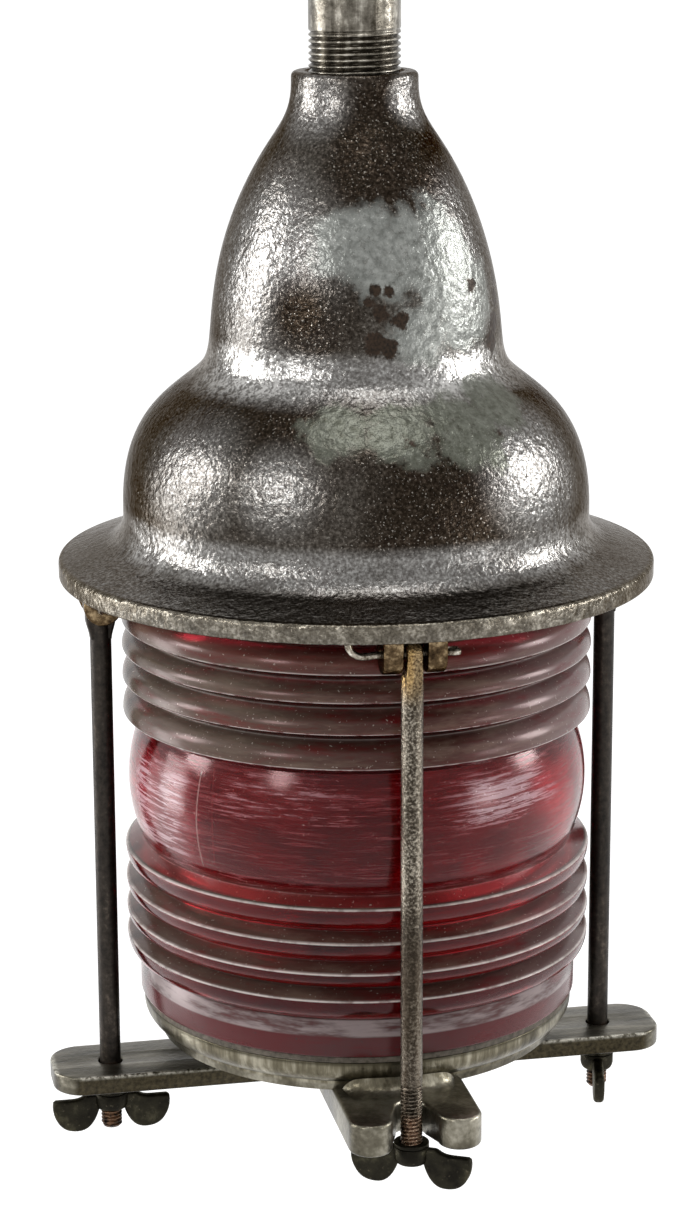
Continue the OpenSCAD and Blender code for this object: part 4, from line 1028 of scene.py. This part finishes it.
def make_pins():
    """Split pins: two half-round wires side by side, each a bar swept along a path. They form a
    flat loop at one end, run straight through the hinge and are bent up together in a hook of
    5.6 mm radius at the other."""
    half_round = profile(arc((0, 0), 1.4, 0, 180, 10)) + [0, 0.02]
    hook = arc((-17.2, 5.2), 5.6, -90, -172, 12)
    bent = np.stack([0 * hook[:, 0], hook[:, 0], hook[:, 1]], 1)
    droop = [[0, -13.5, -0.15], [0, -15.5, -0.35]]
    for name in SIDES:
        to_bolt = at_bolt(name, PIN)
        outwards = np.array([1.0, 0, 0]) @ turn_matrix(SIDES[name])
        shape = Shape()
        for side in (-1, 1):
            loop = [[side * 0.9, 16.3, 0], [side * 1.5, 15, 0], [side * 1.2, 13, 0], [side * 0.15, 11.6, 0]]
            through = [[0, 6, 0], [0, 0, 0], [0, -6, 0], [0, -11, 0]]
            way = np.concatenate([loop, through, droop, bent])
            section = half_round * [0.93, 0.93 * side]
            sweep(shape, to_bolt(way), section[::side], outwards)
        hand_over(shape.build("split_pin_wire_" + name, 60), "hood", "pin_steel", "split_pin_" + name)


def wing_outline():
    """One wing, with the nut's bearing face at height 0: a shoulder that dips from the hub, a
    straight back edge, a round tip and a full lobe, out of four cubics."""
    return profile([[4.4, -0.6], [8.9, -0.6]],
                   bezier([8.9, -0.6], [10.9, -1.0], [10.9, -2.6], [15.4, -2.6], 8),
                   [[21.4, -2.6], [22.4, -3.3]],
                   bezier([22.4, -3.3], [22.9, -6.1], [22.2, -9.1], [21.0, -11.0], 5),
                   bezier([21.0, -11.0], [19.2, -14.4], [16.5, -15.4], [13.1, -15.4], 8),
                   bezier([13.1, -15.4], [8.6, -15.4], [6.2, -11.7], [4.6, -6.2], 10), [4.4, -6.2])


def make_nuts():
    """Wing nuts: the hub is a surface of revolution with a rounded foot, the wings are plates
    4 mm thick with edges rounded by 1.4 mm. Washers and spacers are revolved rings."""
    wing = wing_outline()
    nut_bore, ring_bore, wing_thick = 4.05, 4.4, 4
    for name in SIDES:
        side = name in ("left", "right")
        level = (SPACER if side else WASHER) - 0.05
        middle = at_bolt(name, 0)(np.zeros(3))
        shape = Shape()
        waist, foot = level - HUB_H * 0.6, level - HUB_H
        hub = profile([[nut_bore, level], [HUB_R - 0.4, level], [HUB_R, level - 0.4], [HUB_R, waist]],
                      bezier([HUB_R, waist], [HUB_R - 0.2, level - HUB_H * 0.85], [HUB_R - 0.8, foot + 0.1],
                             [HUB_R - 1.6, foot], 5), [[nut_bore + 0.25, foot], [nut_bore, foot + 0.3]])
        revolve(shape, hub, 64, middle[:2])
        for flip in (1, -1):
            turn = np.array([flip, 1, 1])[:, None] * turn_matrix(NUT_TURN[name])
            plate(shape, wing, [], -wing_thick / 2, wing_thick / 2, 1.4,
                  lambda p: upright(p) @ turn + middle + [0, 0, level], steps=5)
        hand_over(shape.build("wing_nut_casting_" + name, 50), "nut_" + name, "nut_iron", "wing_nut_" + name)
        low, high = (SPACER, BAR_LOW) if side else (WASHER, WASHER + 1.4)
        ring = Shape()
        revolve(ring, ring_outline(HUB_R, ring_bore, low, high, 0.35, 3), 64, middle[:2])
        node, body = ("spacer_" + name, "lens_and_base") if side else ("washer_" + name, "ring_" + name)
        hand_over(ring.build(node + "_ring"), body, "nut_iron", node)


def finish_inner_nodes():
    """Gives every construction node that is still shown the procedural finish of its slot."""
    slots = {part["node"]: part["material_slot"] for part in frame["record"]["subparts"]}
    for name in ("lamp_strap", "strap_screws", "socket_body", "socket_shell", "socket_contact",
                 "socket_screws", "terminal_screws", "lead_live", "lead_neutral", "bulb_glass", "bulb_cap",
                 "bulb_stem", "bulb_filament"):
        made = finish_named(slots[name])
        for holder in frame["nodes"][name].material_slots:
            holder.material = made


# Studio

# Half the floor's side in m, the point at which the soft boxes are aimed, the camera frame's height in mm
FLOOR_HALF, LIT_POINT, FRAME_HEIGHT = 40.0, (0, 0, -0.22), 36


def floor_finish():
    """Pale floor that keeps the light's shadow and is white to camera, gloss and glass, less so
    close under the light."""
    f = Finish("studio_floor")
    matt = f.add("ShaderNodeBsdfDiffuse", {"Color": (0.8, 0.8, 0.8)})
    ray = f.node("ShaderNodeLightPath")
    seen = f.union(*[Field(f, ray.outputs[kind])
                     for kind in ("Is Camera Ray", "Is Glossy Ray", "Is Transmission Ray")])
    glow = f.add("ShaderNodeEmission", {"Strength": seen * f.span(f.radius(), 0.3, 1.6, 0.5, 0.88)})
    both = f.add("ShaderNodeAddShader", {0: matt, 1: glow})
    f.put(f.node("ShaderNodeOutputMaterial").inputs["Surface"], both)
    return f.material


def white_world(fill):
    """World that is white, strength 1, to camera, gloss and glass, and weaker on matt surfaces."""
    world = bpy.data.worlds.new("studio")
    world.use_nodes = True
    tree = world.node_tree
    ground = tree.nodes["Background"]
    ray = tree.nodes.new("ShaderNodeLightPath")
    top = ray.outputs["Is Camera Ray"]
    for name in ("Is Glossy Ray", "Is Transmission Ray"):
        larger = tree.nodes.new("ShaderNodeMath")
        larger.operation = "MAXIMUM"
        tree.links.new(top, larger.inputs[0])
        tree.links.new(ray.outputs[name], larger.inputs[1])
        top = larger.outputs[0]
    level = tree.nodes.new("ShaderNodeMapRange")
    level.inputs["To Min"].default_value = fill
    tree.links.new(top, level.inputs["Value"])
    tree.links.new(level.outputs[0], ground.inputs["Strength"])
    ground.inputs["Color"].default_value = (1, 1, 1, 1)
    bpy.context.scene.world = world


def add_lamp(name, place, width, height, power):
    """Soft box at a place, aimed at the lit point."""
    data = bpy.data.lights.new(name, "AREA")
    data.shape = "RECTANGLE"
    data.size, data.size_y, data.energy = width, height, power
    lamp = bpy.data.objects.new(name, data)
    lamp.location = place
    lamp.rotation_euler = (Vector(LIT_POINT) - Vector(place)).to_track_quat("-Z", "Y").to_euler()
    bpy.context.scene.collection.objects.link(lamp)


def set_camera(studio):
    """Camera on a sphere round the point it looks at, rolled about its own axis."""
    turn, rise = studio.azimuth, studio.elevation
    back = Vector((math.sin(turn) * math.cos(rise), -math.cos(turn) * math.cos(rise), math.sin(rise)))
    right = Vector((0, 0, 1)).cross(back).normalized()
    up = back.cross(right)
    c, s = math.cos(studio.roll), math.sin(studio.roll)
    turned = [right * c - up * s, up * c + right * s, back]
    data = bpy.data.cameras.new("photo_camera")
    data.sensor_fit, data.sensor_height, data.lens = "VERTICAL", FRAME_HEIGHT, studio.focal_length
    data.clip_start, data.clip_end = 0.05, 20
    camera = bpy.data.objects.new("photo_camera", data)
    matrix = Matrix([[turned[k][row] for k in range(3)] for row in range(3)]).to_4x4()
    matrix.translation = back * studio.distance + Vector((0, 0, studio.focus_level)) - right * studio.offset
    camera.matrix_world = matrix
    bpy.context.scene.collection.objects.link(camera)
    bpy.context.scene.camera = camera


def make_stage(studio):
    """Floor plane, world, soft boxes and camera."""
    low = CAD_BOX[0].z - studio.floor_gap
    mesh = bpy.data.meshes.new("studio_floor")
    mesh.from_pydata([(x * FLOOR_HALF, y * FLOOR_HALF, low) for x, y in ((-1, -1), (1, -1), (1, 1), (-1, 1))],
                     [], [(0, 1, 2, 3)])
    mesh.materials.append(floor_finish())
    floor = bpy.data.objects.new("studio_floor", mesh)
    bpy.context.scene.collection.objects.link(floor)
    white_world(studio.fill)
    for name, place, width, height, power in (
            ("left", (-1.36, 0.24, 0.16), 0.36, 0.50, 9.5),
            ("left_low", (-1.25, 0.50, -0.42), 0.40, 0.60, 5),
            ("front_left", (-1.06, -0.86, 0.26), 0.26, 0.34, 5),
            ("right", (1.40, -0.16, 0.14), 0.38, 0.54, 11),
            ("right_low", (1.05, -0.80, -0.30), 0.30, 0.26, 2),
            ("top", (0.1, -0.3, 1.4), 0.8, 0.8, 8)):
        add_lamp("soft_box_" + name, place, width, height, power)
    set_camera(studio)
    bpy.context.scene.view_settings.view_transform = "Standard"


# Operators

class Step:
    """What the operators of this add-on share."""
    bl_options = {"REGISTER", "UNDO"}

    def built(self, *names):
        """Ends a step, with an error if one of its objects isn't there."""
        missing = [name for name in names if name not in bpy.data.objects]
        if missing:
            raise RuntimeError(self.bl_label + " didn't build " + ", ".join(missing))
        return {"FINISHED"}


class LANTERN_OT_bonnet(Step, bpy.types.Operator):
    """Build the cast bonnet with its hinge ears"""
    bl_idname = "lantern.bonnet"
    bl_label = "Bonnet"

    def execute(self, context):
        make_bonnet(context.scene.lantern)
        return self.built("bonnet_casting")


class LANTERN_OT_pipe(Step, bpy.types.Operator):
    """Build the threaded pipe that carries the light"""
    bl_idname = "lantern.pipe"
    bl_label = "Pipe"

    def execute(self, context):
        make_pipe()
        return self.built("threaded_pipe")


class LANTERN_OT_glass(Step, bpy.types.Operator):
    """Build the ruby glass drum and its packing rings"""
    bl_idname = "lantern.glass"
    bl_label = "Glass"

    def execute(self, context):
        make_lens(context.scene.lantern)
        make_packing()
        return self.built("ruby_drum", "top_gasket_ring", "bottom_gasket_ring")


class LANTERN_OT_base(Step, bpy.types.Operator):
    """Build the base casting and the cross bar"""
    bl_idname = "lantern.base"
    bl_label = "Base"

    def execute(self, context):
        make_base()
        make_bar(context.scene.lantern)
        return self.built("base_casting", "flat_bar", "hexagon_bolts")


class LANTERN_OT_bolts(Step, bpy.types.Operator):
    """Build the four swing bolts and their split pins"""
    bl_idname = "lantern.bolts"
    bl_label = "Swing bolts"

    def execute(self, context):
        make_bolts()
        make_pins()
        return self.built(*[kind + side for kind in ("swing_bolt_", "split_pin_wire_") for side in SIDES])


class LANTERN_OT_nuts(Step, bpy.types.Operator):
    """Build the wing nuts, washers and spacers"""
    bl_idname = "lantern.nuts"
    bl_label = "Wing nuts"

    def execute(self, context):
        make_nuts()
        return self.built(*["wing_nut_casting_" + side for side in SIDES])


class LANTERN_OT_lamp(Step, bpy.types.Operator):
    """Give the lamp, its holder and its leads their finishes"""
    bl_idname = "lantern.lamp"
    bl_label = "Lamp finishes"

    def execute(self, context):
        finish_inner_nodes()
        return self.built()


class LANTERN_OT_stage(Step, bpy.types.Operator):
    """Build the floor, the light and the camera"""
    bl_idname = "lantern.stage"
    bl_label = "Stage"

    def execute(self, context):
        make_stage(context.scene.lantern_studio)
        return self.built("studio_floor", "photo_camera")


class LANTERN_PT_panel(bpy.types.Panel):
    """Lists the steps that build the light, and its settings"""
    bl_idname = "LANTERN_PT_panel"
    bl_label = "Bridge warning light"
    bl_space_type = "VIEW_3D"
    bl_region_type = "UI"
    bl_category = "Lantern"

    def draw(self, context):
        rows = self.layout.column()
        for step in STEPS:
            rows.operator(step.bl_idname)
        for settings in (context.scene.lantern, context.scene.lantern_studio):
            for name in type(settings).__annotations__:
                rows.prop(settings, name)


STEPS = (LANTERN_OT_bonnet, LANTERN_OT_pipe, LANTERN_OT_glass, LANTERN_OT_base, LANTERN_OT_bolts,
         LANTERN_OT_nuts, LANTERN_OT_lamp, LANTERN_OT_stage)
CLASSES = (LanternSettings, StudioSettings) + STEPS + (LANTERN_PT_panel,)


def register():
    for item in CLASSES:
        bpy.utils.register_class(item)
    bpy.types.Scene.lantern = bpy.props.PointerProperty(type=LanternSettings)
    bpy.types.Scene.lantern_studio = bpy.props.PointerProperty(type=StudioSettings)


def unregister():
    del bpy.types.Scene.lantern_studio
    del bpy.types.Scene.lantern
    for item in reversed(CLASSES):
        bpy.utils.unregister_class(item)


def main():
    """Builds the light step by step."""
    register()
    bpy.ops.lantern.bonnet()
    bpy.ops.lantern.pipe()
    bpy.ops.lantern.glass()
    bpy.ops.lantern.base()
    bpy.ops.lantern.bolts()
    bpy.ops.lantern.nuts()
    bpy.ops.lantern.lamp()
    bpy.ops.lantern.stage()


if __name__ == "__main__":
    main()
